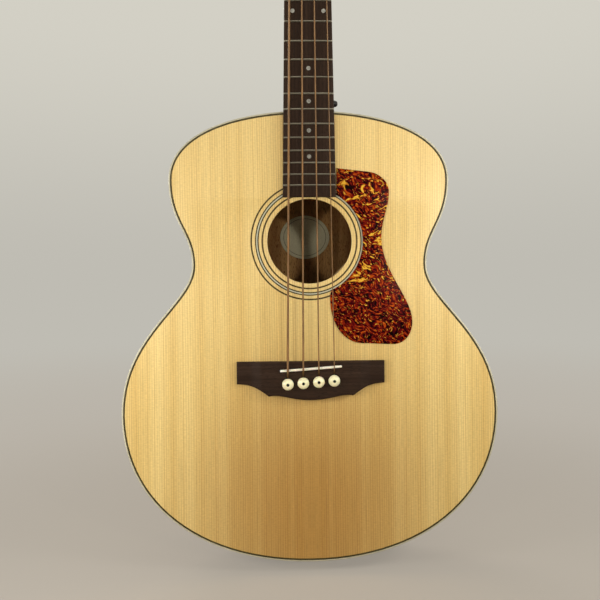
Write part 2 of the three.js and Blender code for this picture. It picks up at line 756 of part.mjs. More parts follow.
function bridge() {
  const half = bridgeWidth / 2;
  const knee = bridgeKneeWidth / 2;
  const wing = bridgeTop - bridgeWingHeight;
  const kneeZ = bridgeTop - bridgeKneeHeight;
  const [wingOut, wingIn, wingDrop] = bridgeWingShares;
  const [kneeIn, kneeRise, bellyIn] = bridgeBellyShares;
  const wingHandleZ = wing + (kneeZ - wing) * wingDrop;
  const kneeHandleZ = kneeZ + (wing - kneeZ) * kneeRise;
  const shape = new THREE.Shape();
  shape.moveTo(-half, bridgeTop);
  shape.lineTo(-half, wing);
  shape.bezierCurveTo(-wingOut * half, wing, -wingIn * half, wingHandleZ, -knee, kneeZ);
  shape.bezierCurveTo(-kneeIn * knee, kneeHandleZ, -bellyIn * knee, bridgeBottom, 0, bridgeBottom);
  shape.bezierCurveTo(bellyIn * knee, bridgeBottom, kneeIn * knee, kneeHandleZ, knee, kneeZ);
  shape.bezierCurveTo(wingIn * half, wingHandleZ, wingOut * half, wing, half, wing);
  shape.lineTo(half, bridgeTop);
  const foot = front - glueGap;
  const face = foot - bridgeThickness;
  const plan = plate(new THREE.Shape(shape.getPoints(bridgeSteps)), face, foot);
  const wingCut = (sign) => loft([bridgeTop + overrun, bridgeBottom - overrun].map((z) => [
    new THREE.Vector3(sign * (half + overrun), foot - bridgeWingThickness, z),
    new THREE.Vector3(sign * (half - bridgeWingLength / 2), foot - bridgeWingThickness, z),
    new THREE.Vector3(sign * (half - bridgeWingLength), face - glueGap, z),
    new THREE.Vector3(sign * (half + overrun), face - glueGap, z),
  ]));
  const ramps = stringPlaces.map((string) => {
    const { ramp, saddle } = stringStart(string);
    return stringChannel(ramp, saddle, string.radius);
  });
  const slot = placedSaddlePlan(glueGap, face - overrun, saddleFoot + glueGap);
  return carve(plan, wingCut(-1), wingCut(1), slot, ...ramps, ...pinHoles());
}

// A cross-section in x and y with a crowned front, run along z
function crownedBar(halfWidth, height, foot, zLow, zHigh) {
  const section = (z) => [
    ...Array.from({ length: crownSteps + 1 }, (_, i) => {
      const x = halfWidth * (2 * i / crownSteps - 1);
      return new THREE.Vector3(x, crowned(height, x), z);
    }),
    new THREE.Vector3(halfWidth, foot, z),
    new THREE.Vector3(-halfWidth, foot, z),
  ];
  return loft([section(zLow), section(zHigh)]);
}

function saddle() {
  const [low, high] = [saddlePlace - saddleLength, saddlePlace + saddleLength];
  const crown = crownedBar(saddleLength / 2, stringHeightAtSaddle, saddleFoot, low, high);
  return common(placedSaddlePlan(0, front - stringHeightAtSaddle - overrun, saddleFoot), crown);
}

function bridgePin(string) {
  const rise = pinHeadHeight - pinRimHeight;
  const profile = [
    [0, pinShankLength], [pinTipRadius, pinShankLength], [pinRadius, 0], [pinRadius, -glueGap],
    [pinHeadRadius, -glueGap], [pinHeadRadius, -glueGap - pinRimHeight],
    ...pinDomeShares.map(([across, up]) => [pinHeadRadius * across, -glueGap - pinRimHeight - rise * up]),
    [0, -glueGap - pinHeadHeight],
  ];
  const face = front - glueGap - bridgeThickness;
  return turned(profile, pinSteps).translate(string.saddleX, face, pinZ(string));
}

// Neck: a C section that deepens to the heel, the heel itself, its tenon and the headstock
function neckSection(z) {
  const share = (nutPlace - z) / (nutPlace - neckRoot);
  const depth = neckDepthAtNut + (neckDepthAtHeel - neckDepthAtNut) * share;
  return Array.from({ length: neckSteps + 1 }, (_, i) => {
    const angle = Math.PI * i / neckSteps;
    const y = front + depth * Math.sin(angle) ** neckRoundnessShare;
    return new THREE.Vector3(boardHalfWidth(z) * Math.cos(angle), i === neckSteps ? front : y, z);
  });
}

const heelEnd = backFace(0, bodyTop) - heelCapThickness - glueGap;
function heelSection(y, widthShare, lengthShare) {
  const half = boardHalfWidth(bodyTop) * widthShare;
  return Array.from({ length: heelSteps + 1 }, (_, i) => {
    const angle = Math.PI * i / heelSteps;
    const rise = heelLength * lengthShare * Math.sin(angle) ** neckRoundnessShare;
    return new THREE.Vector3(half * Math.cos(angle), y, neckRoot + (i === heelSteps ? 0 : rise));
  });
}

function heel() {
  return loft(heelDepthShares.map((share, i) => heelSection(
    front + (heelEnd - front) * share, heelWidthShares[i], heelLengthShares[i],
  )));
}

function heelCap() {
  const last = heelDepthShares.length - 1;
  return loft([glueGap, glueGap + heelCapThickness].map(
    (offset) => heelSection(heelEnd + offset, heelWidthShares[last], heelLengthShares[last]),
  ));
}

// The headstock's outline in its own frame, x across and z up from its root
function headShape(start) {
  const shape = new THREE.Shape();
  const root = boardHalfWidth(headPivot);
  const shoulder = headShoulderWidth / 2;
  const top = headTopWidth / 2;
  shape.moveTo(-root, start);
  const [rootRise, shoulderRise] = headRootShares.map((share) => share * headShoulderPlace);
  shape.bezierCurveTo(-root, rootRise, -shoulder, shoulderRise, -shoulder, headShoulderPlace);
  shape.lineTo(-top, headLength - headCrown);
  shape.quadraticCurveTo(0, headLength + headCrown, top, headLength - headCrown);
  shape.lineTo(shoulder, headShoulderPlace);
  shape.bezierCurveTo(shoulder, shoulderRise, root, rootRise, root, start);
  return new THREE.Shape(shape.getPoints(headSteps));
}

const onHead = (geometry) => geometry.rotateX(-tilt).translate(0, front, headPivot);
const atPost = (string) => (geometry) => geometry.translate(string.postX, 0, string.postV);
const postHoles = () => stringPlaces.map((string) => atPost(string)(rod(
  postRadius + slipGap + ferruleWall + glueGap, veneerFront - overrun, headThickness + overrun, postSteps,
)));
const rodPocket = () => box(
  [-pocketWidth / 2, pocketWidth / 2], [veneerFront - overrun, pocketDepth], [glueGap, pocketLength],
);

function neck() {
  const shaft = loft([neckSection(neckRoot), neckSection(headPivot)]);
  const head = plate(headShape(0), 0, headThickness);
  const channelHalf = rodRadius + glueGap;
  const channel = box(
    [-channelHalf, channelHalf],
    [front - overrun, front + rodDepth + channelHalf],
    [bodyTop + rodFromHeel - glueGap, headPivot + glueGap + overrun],
  );
  const joint = tenonSpace(0);
  const trimmedJoint = common(joint, box(
    [-tenonWidth, tenonWidth], throughBody, [bodyTop - tenonLength, neckRoot + glueGap],
  ));
  return carve(
    join(shaft, heel(), trimmedJoint, onHead(head)),
    channel,
    onHead(rodPocket()),
    ...postHoles().map(onHead),
    placedButtonHole(),
  );
}

function headVeneer() {
  const sheet = plate(headShape(glueGap), veneerFront, -glueGap);
  return carve(sheet, rodPocket(), ...postHoles());
}

function rodCover() {
  const [wide, tip] = [coverWidth / 2, coverTipWidth / 2];
  const shape = new THREE.Shape();
  shape.moveTo(-wide, coverStart);
  shape.lineTo(wide, coverStart);
  shape.bezierCurveTo(wide, coverLength / 2, tip, coverLength / 2, tip, coverLength - tip);
  shape.absarc(0, coverLength - tip, tip, 0, Math.PI, false);
  shape.bezierCurveTo(-tip, coverLength / 2, -wide, coverLength / 2, -wide, coverStart);
  const back = veneerFront - glueGap;
  return plate(new THREE.Shape(shape.getPoints(headSteps)), back - coverThickness, back);
}

function trussRod() {
  const length = headPivot + rodNutFromPivot + rodNutLength - bodyTop - rodFromHeel;
  return alongZ(rod(rodRadius, 0, length, rodSteps)).translate(0, front + rodDepth, bodyTop + rodFromHeel);
}

function trussRodNut() {
  const hex = ring(rodRadius + slipGap, rodNutRadius, 0, rodNutLength, rodNutSides);
  return alongZ(hex).translate(0, front + rodDepth, headPivot + rodNutFromPivot);
}

// Fingerboard with its frets pressed in
function fingerboard() {
  const foot = front - glueGap;
  const acrossBoard = (half) => Array.from(
    { length: boardSteps + 1 }, (_, i) => half * (2 * i / boardSteps - 1),
  );
  const board = loft([nutPlace - glueGap, boardEnd].map((z) => {
    const half = boardHalfWidth(z);
    const crown = acrossBoard(half).map((x) => new THREE.Vector3(x, boardSurface(x), z));
    return [...crown, new THREE.Vector3(half, foot, z), new THREE.Vector3(-half, foot, z)];
  }));
  const frets = Array.from({ length: fretCount }, (_, i) => {
    const z = nutPlace - fretDistance(i + 1);
    const [foot, crown] = [fretWidth / 2, fretWidth * fretCrownShare / 2];
    const corners = [[-foot, fretTang], [foot, fretTang], [crown, -fretHeight], [-crown, -fretHeight]];
    return loft(acrossBoard(boardHalfWidth(z) - glueGap).map((x) => corners.map(
      ([w, y]) => new THREE.Vector3(x, boardSurface(x) + y, z + w),
    )));
  });
  return join(board, ...frets);
}

function nut() {
  const half = nutWidth / 2 - glueGap;
  const blank = crownedBar(
    half, stringHeightAtNut + nutCrown, front - glueGap, nutPlace, headPivot - glueGap,
  );
  return carve(blank, ...stringPlaces.map((string) => {
    const [first, second] = stringAcrossNut(string);
    return stringChannel(first, second, string.radius);
  }));
}

// Tuners, each built in the headstock's frame with its post at the origin
function wheelOutline() {
  const tip = wheelRadius + toothDepthShares[0] * gearModule;
  const root = wheelRadius - toothDepthShares[1] * gearModule;
  const pitch = 2 * Math.PI / wheelTeeth;
  const corners = [
    [root, -toothRootShare], [tip, -toothTipShare], [tip, toothTipShare], [root, toothRootShare],
  ];
  const firstTooth = pitch / 2 - Math.PI / 2;
  return new THREE.Shape(Array.from({ length: wheelTeeth }, (_, i) => corners.map(([radius, share]) => {
    const angle = firstTooth + pitch * (i + share);
    return new THREE.Vector2(radius * Math.cos(angle), radius * Math.sin(angle));
  })).flat());
}

function windingHeights(string) {
  const low = windingFromVeneer + string.radius;
  return [low, low + windingTurns * (string.diameter + windingGap)];
}

function tunerPost(string) {
  const farEnd = wheelMiddle + wheelThickness / 2 + postEnd;
  const boss = [plateBack + slipGap, wheelMiddle];
  const tip = veneerFront - postHeight;
  const shaft = turned([
    [0, tip], [postRadius, tip], [postRadius, boss[0]], [wheelBossRadius, boss[0]],
    [wheelBossRadius, boss[1]], [postRadius, boss[1]], [postRadius, farEnd], [0, farEnd],
  ], postSteps);
  const wheel = plate(wheelOutline(), wheelMiddle - wheelThickness / 2, wheelMiddle + wheelThickness / 2);
  const [, high] = windingHeights(string);
  const half = string.radius + slipGap;
  const { endAngle } = postWinding(string);
  const slotFloor = veneerFront - high + half;
  const slot = box([-postRadius - overrun, postRadius + overrun], [tip - overrun, slotFloor], [-half, half])
    .rotateY(-endAngle);
  const well = rod(half, tip - overrun, slotFloor + stringEndLength, wellSteps);
  return carve(join(shaft, wheel), slot, well);
}

function ferrule() {
  const [inner, sleeve] = [postRadius + slipGap, postRadius + slipGap + ferruleWall];
  const back = veneerFront - glueGap;
  return turned([
    [inner, ferruleFront], [ferruleRadius, ferruleFront], [ferruleRadius, back], [sleeve, back],
    [sleeve, ferruleSleeve], [inner, ferruleSleeve], [inner, ferruleFront],
  ], postSteps);
}

const alongX = (geometry) => geometry.rotateZ(-Math.PI / 2);

function tunerPlate() {
  const [near, far] = [headThickness + glueGap, plateBack];
  const half = tunerPlateWidth / 2;
  const base = box([-half, half], [near, far], [-tunerPlateBelow, tunerPlateAbove]);
  const ear = (sign) => box(
    [earOffCentre, earOffCentre + earThickness].map((x) => sign * x).sort((a, b) => a - b),
    [near, wheelMiddle + earHalfHeight],
    [-wormOffset - earHalfHeight, -wormOffset + earHalfHeight],
  );
  const shaftHole = alongX(rod(keyShaftRadius + slipGap, -half, half, keyShaftSteps))
    .translate(0, wheelMiddle, -wormOffset);
  const postHole = rod(postRadius + slipGap, near - overrun, far + overrun, postSteps);
  return carve(join(base, ear(-1), ear(1)), shaftHole, postHole);
}

// The worm's thread: one right-handed helix with a tapered section
function wormThread() {
  const steps = Math.round(wormTurns * wormStepsPerTurn);
  return loft(Array.from({ length: steps + 1 }, (_, i) => {
    const angle = 2 * Math.PI * wormTurns * (i / steps - 0.5);
    const x = wormLead * wormTurns * (i / steps - 0.5);
    const radial = new THREE.Vector3(0, -Math.sin(angle), Math.cos(angle));
    const place = (radius, shift) => radial.clone().multiplyScalar(radius).setX(x + shift);
    return [
      place(wormCoreRadius - glueGap, -wormThreadWidth / 2),
      place(wormCoreRadius - glueGap, wormThreadWidth / 2),
      place(wormTipRadius, wormThreadWidth / 4),
      place(wormTipRadius, -wormThreadWidth / 4),
    ];
  }));
}

// A key: a shaft through both ears with the worm between them and a clover leaf outside
function tunerKey(string) {
  const outer = earOffCentre + earThickness + slipGap;
  const shoulder = earOffCentre - slipGap;
  const leafX = headShoulderWidth / 2 + keyLeafFromHead - Math.abs(string.postX);
  const shaft = turned([
    [0, -outer], [keyShaftRadius, -outer], [keyShaftRadius, -shoulder], [wormCoreRadius, -shoulder],
    [wormCoreRadius, shoulder], [keyShaftRadius, shoulder], [keyShaftRadius, leafX], [0, leafX],
  ], keyShaftSteps);
  const leafPoints = Array.from({ length: keyLeafSteps }, (_, i) => {
    const angle = 2 * Math.PI * i / keyLeafSteps;
    const radius = keyLeafRadius * (1 - keyLeafDipShare + keyLeafDipShare * Math.cos(3 * angle));
    return new THREE.Vector2(leafX + radius * Math.cos(angle), radius * Math.sin(angle));
  });
  const leaf = plate(new THREE.Shape(leafPoints), -keyLeafThickness / 2, keyLeafThickness / 2);
  const outwardPart = join(alongX(shaft), leaf);
  if (string.side < 0) outwardPart.rotateY(Math.PI);
  return join(outwardPart, wormThread()).translate(0, wheelMiddle, -wormOffset);
}

// A string's winding on its post, in the headstock's frame
const pivot = new THREE.Vector3(0, front, headPivot);
const tiltAxis = new THREE.Vector3(1, 0, 0);
const headPoint = (point) => point.clone().sub(pivot).applyAxisAngle(tiltAxis, tilt);
const fromHead = (point) => point.clone().applyAxisAngle(tiltAxis, -tilt).add(pivot);

function postWinding(string) {
  const start = headPoint(stringStart(string).nut);
  const radius = postRadius + slipGap + string.radius;
  const toPost = new THREE.Vector2(string.postX - start.x, string.postV - start.z);
  const bend = Math.asin(radius / toPost.length());
  const firstAngle = toPost.angle() + string.side * (bend + Math.PI / 2);
  const steps = Math.round(windingTurns * windingSteps);
  const [low, high] = windingHeights(string);
  const points = Array.from({ length: steps + 1 }, (_, i) => {
    const angle = firstAngle - string.side * 2 * Math.PI * windingTurns * i / steps;
    const height = low + (high - low) * i / steps;
    return new THREE.Vector3(
      string.postX + radius * Math.cos(angle), veneerFront - height, string.postV + radius * Math.sin(angle),
    );
  });
  return { points, endAngle: firstAngle - string.side * 2 * Math.PI * windingTurns };
}

function stringAcrossNut(string) {
  const first = stringStart(string).nut;
  const towards = fromHead(postWinding(string).points[0]).sub(first);
  const at = (rise) => first.clone().addScaledVector(towards, rise / towards.z);
  return [at(-overrun), at(nutThickness + overrun)];
}

// A tube of even radius along a path, mitred at its bends
function tube(path, radius, sides) {
  const first = path[1].clone().sub(path[0]).normalize();
  const sideways = Math.abs(first.x) < 0.9 ? new THREE.Vector3(1, 0, 0) : new THREE.Vector3(0, 0, 1);
  const u = sideways.cross(first).normalize();
  const v = first.clone().cross(u);
  let current = Array.from({ length: sides }, (_, i) => {
    const angle = 2 * Math.PI * (i + 0.5) / sides;
    const [across, along] = [radius * Math.cos(angle), radius * Math.sin(angle)];
    return path[0].clone().addScaledVector(u, across).addScaledVector(v, along);
  });
  const sections = [current];
  for (let i = 1; i < path.length; i += 1) {
    const before = path[i].clone().sub(path[i - 1]).normalize();
    const after = i < path.length - 1 ? path[i + 1].clone().sub(path[i]).normalize() : before;
    const normal = before.clone().add(after).normalize();
    current = current.map((p) => {
      const distance = path[i].clone().sub(p).dot(normal) / before.dot(normal);
      return p.clone().addScaledVector(before, distance);
    });
    sections.push(current);
  }
  return loft(sections);
}

function leastGapToItself(points, diameter, apart) {
  let least = Infinity;
  points.forEach((p, i) => points.slice(i + apart).forEach((q) => {
    least = Math.min(least, p.distanceTo(q) - diameter);
  }));
  return least;
}

function stringSolid(string) {
  const { ball, ramp, saddle: bend, nut: nutPoint } = stringStart(string);
  const { points } = postWinding(string);
  const gap = leastGapToItself(points, string.diameter, windingSteps / 2);
  console.log(`string_${string.name}: least gap between its turns ${gap.toFixed(2)} mm`);
  const last = points[points.length - 1];
  const wellTop = new THREE.Vector3(string.postX, last.y, string.postV);
  const wellEnd = wellTop.clone().setY(last.y + stringEndLength);
  const wound = [...points, wellTop, wellEnd].map(fromHead);
  const bead = rod(ballRadius, -ballLength / 2, ballLength / 2, ballSteps)
    .translate(ball.x, ball.y, ball.z + ballOffset);
  return join(tube([ball, ramp, bend, nutPoint, ...wound], string.radius, stringSides), bead);
}

// A button turned about its own axis: outer end up to its rim, waist, rim against its seat, shank inside
function button(end, rimThickness, waistRadius, shankRadius, shankLength) {
  const [rimRadius, rimHeight] = end.at(-1);
  return turned([
    ...end, [rimRadius, rimHeight + rimThickness],
    [waistRadius, rimHeight + (1 + buttonTaperShare) * rimThickness],
    [waistRadius, -rimThickness], [rimRadius * buttonSeatShare, -glueGap],
    [shankRadius, -glueGap], [shankRadius, shankLength], [0, shankLength],
  ], buttonSteps);
}

const endPin = () => alongZ(button(
  [[0, -endPinReach], [buttonRimRadius, -endPinReach]],
  buttonRimThickness, buttonWaistRadius, endPinShankRadius, endPinShankLength,
)).translate(0, 0, bodyBottom);

// The heel's width where the strap button sits
function heelButtonSeat() {
  const share = heelButtonDepth / (heelEnd - front);
  const i = heelDepthShares.findIndex((s) => s > share);
  const blend = (share - heelDepthShares[i - 1]) / (heelDepthShares[i] - heelDepthShares[i - 1]);
  const at = (shares) => shares[i - 1] + (shares[i] - shares[i - 1]) * blend;
  const rise = (heelButtonHeight / (heelLength * at(heelLengthShares))) ** (1 / neckRoundnessShare);
  return boardHalfWidth(bodyTop) * at(heelWidthShares) * Math.sqrt(1 - rise * rise);
}

const placedOnHeel = (geometry) => alongX(geometry.rotateX(Math.PI))
  .translate(heelButtonSeat(), front + heelButtonDepth, bodyTop + heelButtonHeight);
const heelButtonEnd = () => [[0, -buttonReach], ...heelButtonDome.map(([radius, rise]) => [
  heelButtonRadius * radius, -buttonReach * (1 - heelButtonDomeShare * (1 - rise)),
])];
const heelButton = () => placedOnHeel(button(
  heelButtonEnd(), heelButtonRimThickness, heelButtonWaistRadius, buttonShankRadius, buttonShankLength,
));
function placedButtonHole() {
  const shank = rod(buttonShankRadius + slipGap, -overrun, buttonShankLength + slipGap, buttonSteps);
  const seat = rod(heelButtonRadius, -overrun, 0, buttonSteps);
  return placedOnHeel(join(shank, seat));
}

// Colour, roughness and metalness of each finish
const finishes = {
  spruce: [0xddbb78, 0.35, 0], mahogany: [0x6d3b22, 0.4, 0], rosewood: [0x3b271c, 0.55, 0],
  spruceBar: [0xcfae78, 0.8, 0], cedar: [0xa9784d, 0.8, 0], maple: [0xd2b184, 0.8, 0],
  ivory: [0xd9d2bd, 0.4, 0], darkFibre: [0x4a443a, 0.5, 0], tortoise: [0x4a2416, 0.25, 0],
  paper: [0xe3dcc6, 0.9, 0], bone: [0xf1ece0, 0.45, 0], bronze: [0xb27b4d, 0.35, 0.9],
  steel: [0x9a9a9c, 0.4, 1], chrome: [0xc8c8ca, 0.15, 1], blackPlastic: [0x1b1b1b, 0.35, 0],
  brass: [0xb5923f, 0.35, 1],
};

const guitar = new THREE.Group();
const head = new THREE.Group();
head.position.set(0, front, headPivot);
head.rotation.x = -tilt;
guitar.add(head);

function addPiece(group, name, finish, geometry) {
  const [color, roughness, metalness] = finishes[finish];
  const material = new THREE.MeshStandardMaterial({ color, roughness, metalness, flatShading: true });
  const mesh = new THREE.Mesh(geometry, material);
  mesh.name = name;
  group.add(mesh);
  return mesh;
}

const frontBinding = band(0, bindingWidth, flat(front), flat(front + bindingHeight));
const backBinding = band(0, bindingWidth, shifted(backFace, -bindingHeight), backFace);
const purfling = band(boardInset, boardInset + purflingWidth, flat(front), flat(front + purflingDepth));
const backPlate = domedPlate(boardInset, shifted(backFace, -backThickness), backFace);
const sideNames = [['bass', -1], ['treble', 1]];

addPiece(guitar, 'soundboard', 'spruce', soundboard());
addPiece(guitar, 'back_plate', 'mahogany', backPlate);
sideNames.forEach(([name, sign]) => {
  addPiece(guitar, `side_${name}`, 'mahogany', side(sign));
  addPiece(guitar, `front_lining_${name}`, 'cedar', lining(frontLining, sign));
  addPiece(guitar, `back_lining_${name}`, 'cedar', lining(backLining, sign));
  addPiece(guitar, `x_brace_${name}`, 'spruceBar', crossBrace(sign));
});
addPiece(guitar, 'tail_wedge', 'ivory', carve(common(sideBand, tailWedgeBox(0)), endPinHole()));
addPiece(guitar, 'front_binding', 'ivory', frontBinding);
addPiece(guitar, 'back_binding', 'ivory', backBinding);
addPiece(guitar, 'front_purfling', 'darkFibre', purfling);
addPiece(guitar, 'neck_block', 'cedar', carve(common(neckBlockBox(0), blockSpace), tenonSpace(glueGap)));
addPiece(guitar, 'tail_block', 'cedar', carve(common(tailBlockBox(0), blockSpace), endPinHole()));
addPiece(guitar, 'upper_brace', 'spruceBar', upperBrace());
addPiece(guitar, 'tone_bar', 'spruceBar', toneBar());
addPiece(guitar, 'bridge_plate', 'maple', bridgePlate());
Object.entries(rosetteRings).forEach(([name, sizes]) => {
  addPiece(guitar, name, 'darkFibre', rosetteRing(sizes));
});
addPiece(guitar, 'pickguard', 'tortoise', pickguard());
addPiece(guitar, 'label', 'paper', label());
addPiece(guitar, 'end_pin', 'blackPlastic', endPin());
addPiece(guitar, 'heel_strap_button', 'blackPlastic', heelButton());
addPiece(guitar, 'bridge', 'rosewood', bridge());
addPiece(guitar, 'saddle', 'bone', saddle());
addPiece(guitar, 'neck', 'mahogany', neck());
addPiece(guitar, 'heel_cap', 'ivory', heelCap());
addPiece(guitar, 'fingerboard', 'rosewood', fingerboard());
addPiece(guitar, 'nut', 'bone', nut());
addPiece(guitar, 'truss_rod', 'steel', trussRod());
addPiece(guitar, 'truss_rod_nut', 'brass', trussRodNut());
addPiece(head, 'head_veneer', 'rosewood', headVeneer());
addPiece(head, 'truss_rod_cover', 'blackPlastic', rodCover());
stringPlaces.forEach((string) => {
  addPiece(guitar, `string_${string.name}`, 'bronze', stringSolid(string));
  addPiece(guitar, `bridge_pin_${string.name}`, 'ivory', bridgePin(string));
  const tuner = new THREE.Group();
  tuner.position.set(string.postX, 0, string.postV);
  head.add(tuner);
  addPiece(tuner, `tuner_plate_${string.name}`, 'chrome', tunerPlate());
  addPiece(tuner, `tuner_key_${string.name}`, 'chrome', tunerKey(string));
  addPiece(tuner, `tuner_post_${string.name}`, 'chrome', tunerPost(string));
  addPiece(tuner, `tuner_ferrule_${string.name}`, 'chrome', ferrule());
});

export default guitar;
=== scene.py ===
from math import acos, asin, atan2, cos, hypot, pi, radians, sin, tan

import bmesh
import bpy
import numpy as np
from mathutils import Matrix, Vector
from mathutils.geometry import tessellate_polygon


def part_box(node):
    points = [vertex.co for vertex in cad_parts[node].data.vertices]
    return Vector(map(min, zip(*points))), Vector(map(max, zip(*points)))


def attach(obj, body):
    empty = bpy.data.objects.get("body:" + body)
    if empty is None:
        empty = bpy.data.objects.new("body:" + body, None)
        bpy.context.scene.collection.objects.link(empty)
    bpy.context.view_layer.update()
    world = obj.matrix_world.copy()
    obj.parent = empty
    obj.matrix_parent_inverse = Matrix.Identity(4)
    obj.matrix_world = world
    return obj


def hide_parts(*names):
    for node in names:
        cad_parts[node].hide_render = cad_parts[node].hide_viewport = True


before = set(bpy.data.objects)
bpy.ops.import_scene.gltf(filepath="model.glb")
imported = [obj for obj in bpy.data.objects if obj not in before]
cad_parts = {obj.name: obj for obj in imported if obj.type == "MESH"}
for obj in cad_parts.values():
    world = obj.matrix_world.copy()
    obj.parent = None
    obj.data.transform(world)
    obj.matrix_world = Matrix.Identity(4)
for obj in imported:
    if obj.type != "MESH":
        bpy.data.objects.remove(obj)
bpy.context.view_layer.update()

mm = 0.001                                  # every size below is in millimetres
scene = bpy.context.scene
scene.view_settings.view_transform = "Standard"


def newObject(name, data):
    item = bpy.data.objects.new(name, data)
    scene.collection.objects.link(item)
    return item


# Camera, solved from the frets, the body's symmetry and the round sound hole
viewPoint = {
    "place": (-29.54, -780.65, 345.08), "right": (0.99965, -0.02500, -0.00887),
    "up": (0.00971, 0.03363, 0.99939), "forward": (0.02468, 0.99913, -0.03386),
    "lens": 37.74, "sensor": 36, "clip": (0.01, 50),
}
camera = newObject("camera", bpy.data.cameras.new("camera"))
camera.data.lens, camera.data.sensor_width = viewPoint["lens"], viewPoint["sensor"]
camera.data.clip_start, camera.data.clip_end = viewPoint["clip"]
right, up, forward = [Vector(viewPoint[key]) for key in ("right", "up", "forward")]
facing = Matrix((right, up, -forward)).transposed().to_4x4()
camera.matrix_world = Matrix.Translation(Vector(viewPoint["place"]) * mm) @ facing
scene.camera = camera
print("camera placed")


def linear(hexColour):
    channels = [int(hexColour[i:i + 2], 16) / 255 for i in (1, 3, 5)]
    return [c / 12.92 if c <= 0.04045 else ((c + 0.055) / 1.055) ** 2.4 for c in channels] + [1]


# One shader node; its inputs are values or other nodes' sockets, and one of its sockets comes back
def addNode(tree, kind, inputs=(), out=0, **settings):
    node = tree.nodes.new("ShaderNode" + kind)
    for name, value in settings.items():
        setattr(node, name, value)
    for name, value in inputs.items() if isinstance(inputs, dict) else enumerate(inputs):
        if isinstance(value, bpy.types.NodeSocket):
            tree.links.new(value, node.inputs[name])
        else:
            node.inputs[name].default_value = value
    return node.outputs[out]


def mathNode(tree, operation, *values):
    return addNode(tree, "Math", values, operation=operation)


def vectorNode(tree, operation, *values, out=0):
    return addNode(tree, "VectorMath", values, out, operation=operation)


def ranged(tree, value, low, high, start=0.0, end=1.0, kind="LINEAR"):
    return addNode(tree, "MapRange", (value, low, high, start, end), interpolation_type=kind)


# A colour ramp; each stop is (its place, its colour)
def coloured(tree, value, stops):
    ramp = addNode(tree, "ValToRGB", [value])
    elements = ramp.node.color_ramp.elements
    for _ in stops[2:]:
        elements.new(1)
    for element, (place, colour) in zip(elements, stops):
        element.position, element.color = place, linear(colour)
    return ramp


noiseSpan = (0.3, 0.7)                      # nearly all of a noise's values lie between these
mottleSpan = (0.35, 0.65)                   # a little narrower, for clearer patches


def spread(tree, noise, start, end=1.0):
    return ranged(tree, noise, *noiseSpan, start, end)


# Noise with one size along an axis and another across it, in millimetres
def stretched(tree, place, across, along, axis, detail=2.0, distortion=0.0):
    scale = [1 / (across * mm)] * 3
    scale[axis] = 1 / (along * mm)
    mapped = addNode(tree, "Mapping", {"Vector": place, "Scale": scale})
    return addNode(tree, "TexNoise", {
        "Vector": mapped, "Scale": 1.0, "Detail": detail, "Distortion": distortion})


def mixed(tree, factor, first, second, blend="MIX"):
    return addNode(tree, "Mix", {0: factor, 6: first, 7: second}, 2, data_type="RGBA", blend_type=blend)


def shaded(tree, colour, shade):
    return mixed(tree, 1.0, colour, shade, "MULTIPLY")


# Distance from a centre in millimetres, with a share for each axis
def distanceFrom(tree, place, centre, shares):
    moved = vectorNode(tree, "SUBTRACT", place, [c * mm for c in centre])
    return vectorNode(tree, "LENGTH", vectorNode(tree, "MULTIPLY", moved, shares), out=1)


# The way a surface looks up its pattern: its own coordinates, or the flow stored along a bent piece
def patternPlace(tree, flow=False):
    if flow:
        return addNode(tree, "Attribute", out=1, attribute_name="flow")
    return addNode(tree, "TexCoord", out=3)


def newMaterial(name, fixed):
    material = bpy.data.materials.new(name)
    material.use_nodes = True
    shader = material.node_tree.nodes["Principled BSDF"]
    for socket, value in fixed.items():
        shader.inputs[socket].default_value = value
    return material, material.node_tree, shader


# Colour, roughness that follows the fine pattern, and relief
def finish(tree, shader, look, colour, fine, height):
    relief = addNode(tree, "Bump", {"Strength": 1.0, "Distance": look["bump"] * mm, "Height": height})
    surface = {"Base Color": colour, "Roughness": spread(tree, fine, *look["rough"]), "Normal": relief}
    for socket, value in surface.items():
        tree.links.new(value, shader.inputs[socket])


# Wood: growth rings with a sharp late edge, each ring a little different, broad bands, fibres and pores.
# Sizes are across the grain; woodPattern says how far each noise reaches along it
woodPattern = {
    "bend": (90, 700), "bandLength": 45, "fibreLength": 60, "poreLength": 11, "poreEdge": 0.06,
    "silk": (4, 1.3), "tones": (0.45, 1.2),
    "ring": [(0, "#101010"), (0.3, "#1C1C1C"), (0.72, "#B0B0B0"), (0.86, "#FFFFFF"), (1, "#101010")],
}
woodDefaults = {
    "coat": 0.0, "coatRoughness": 0.3, "shine": 0.5, "axis": 2, "flow": False, "bookMatched": False}
refraction = 1.5                            # index of lacquer, plastic, shell and oiled wood


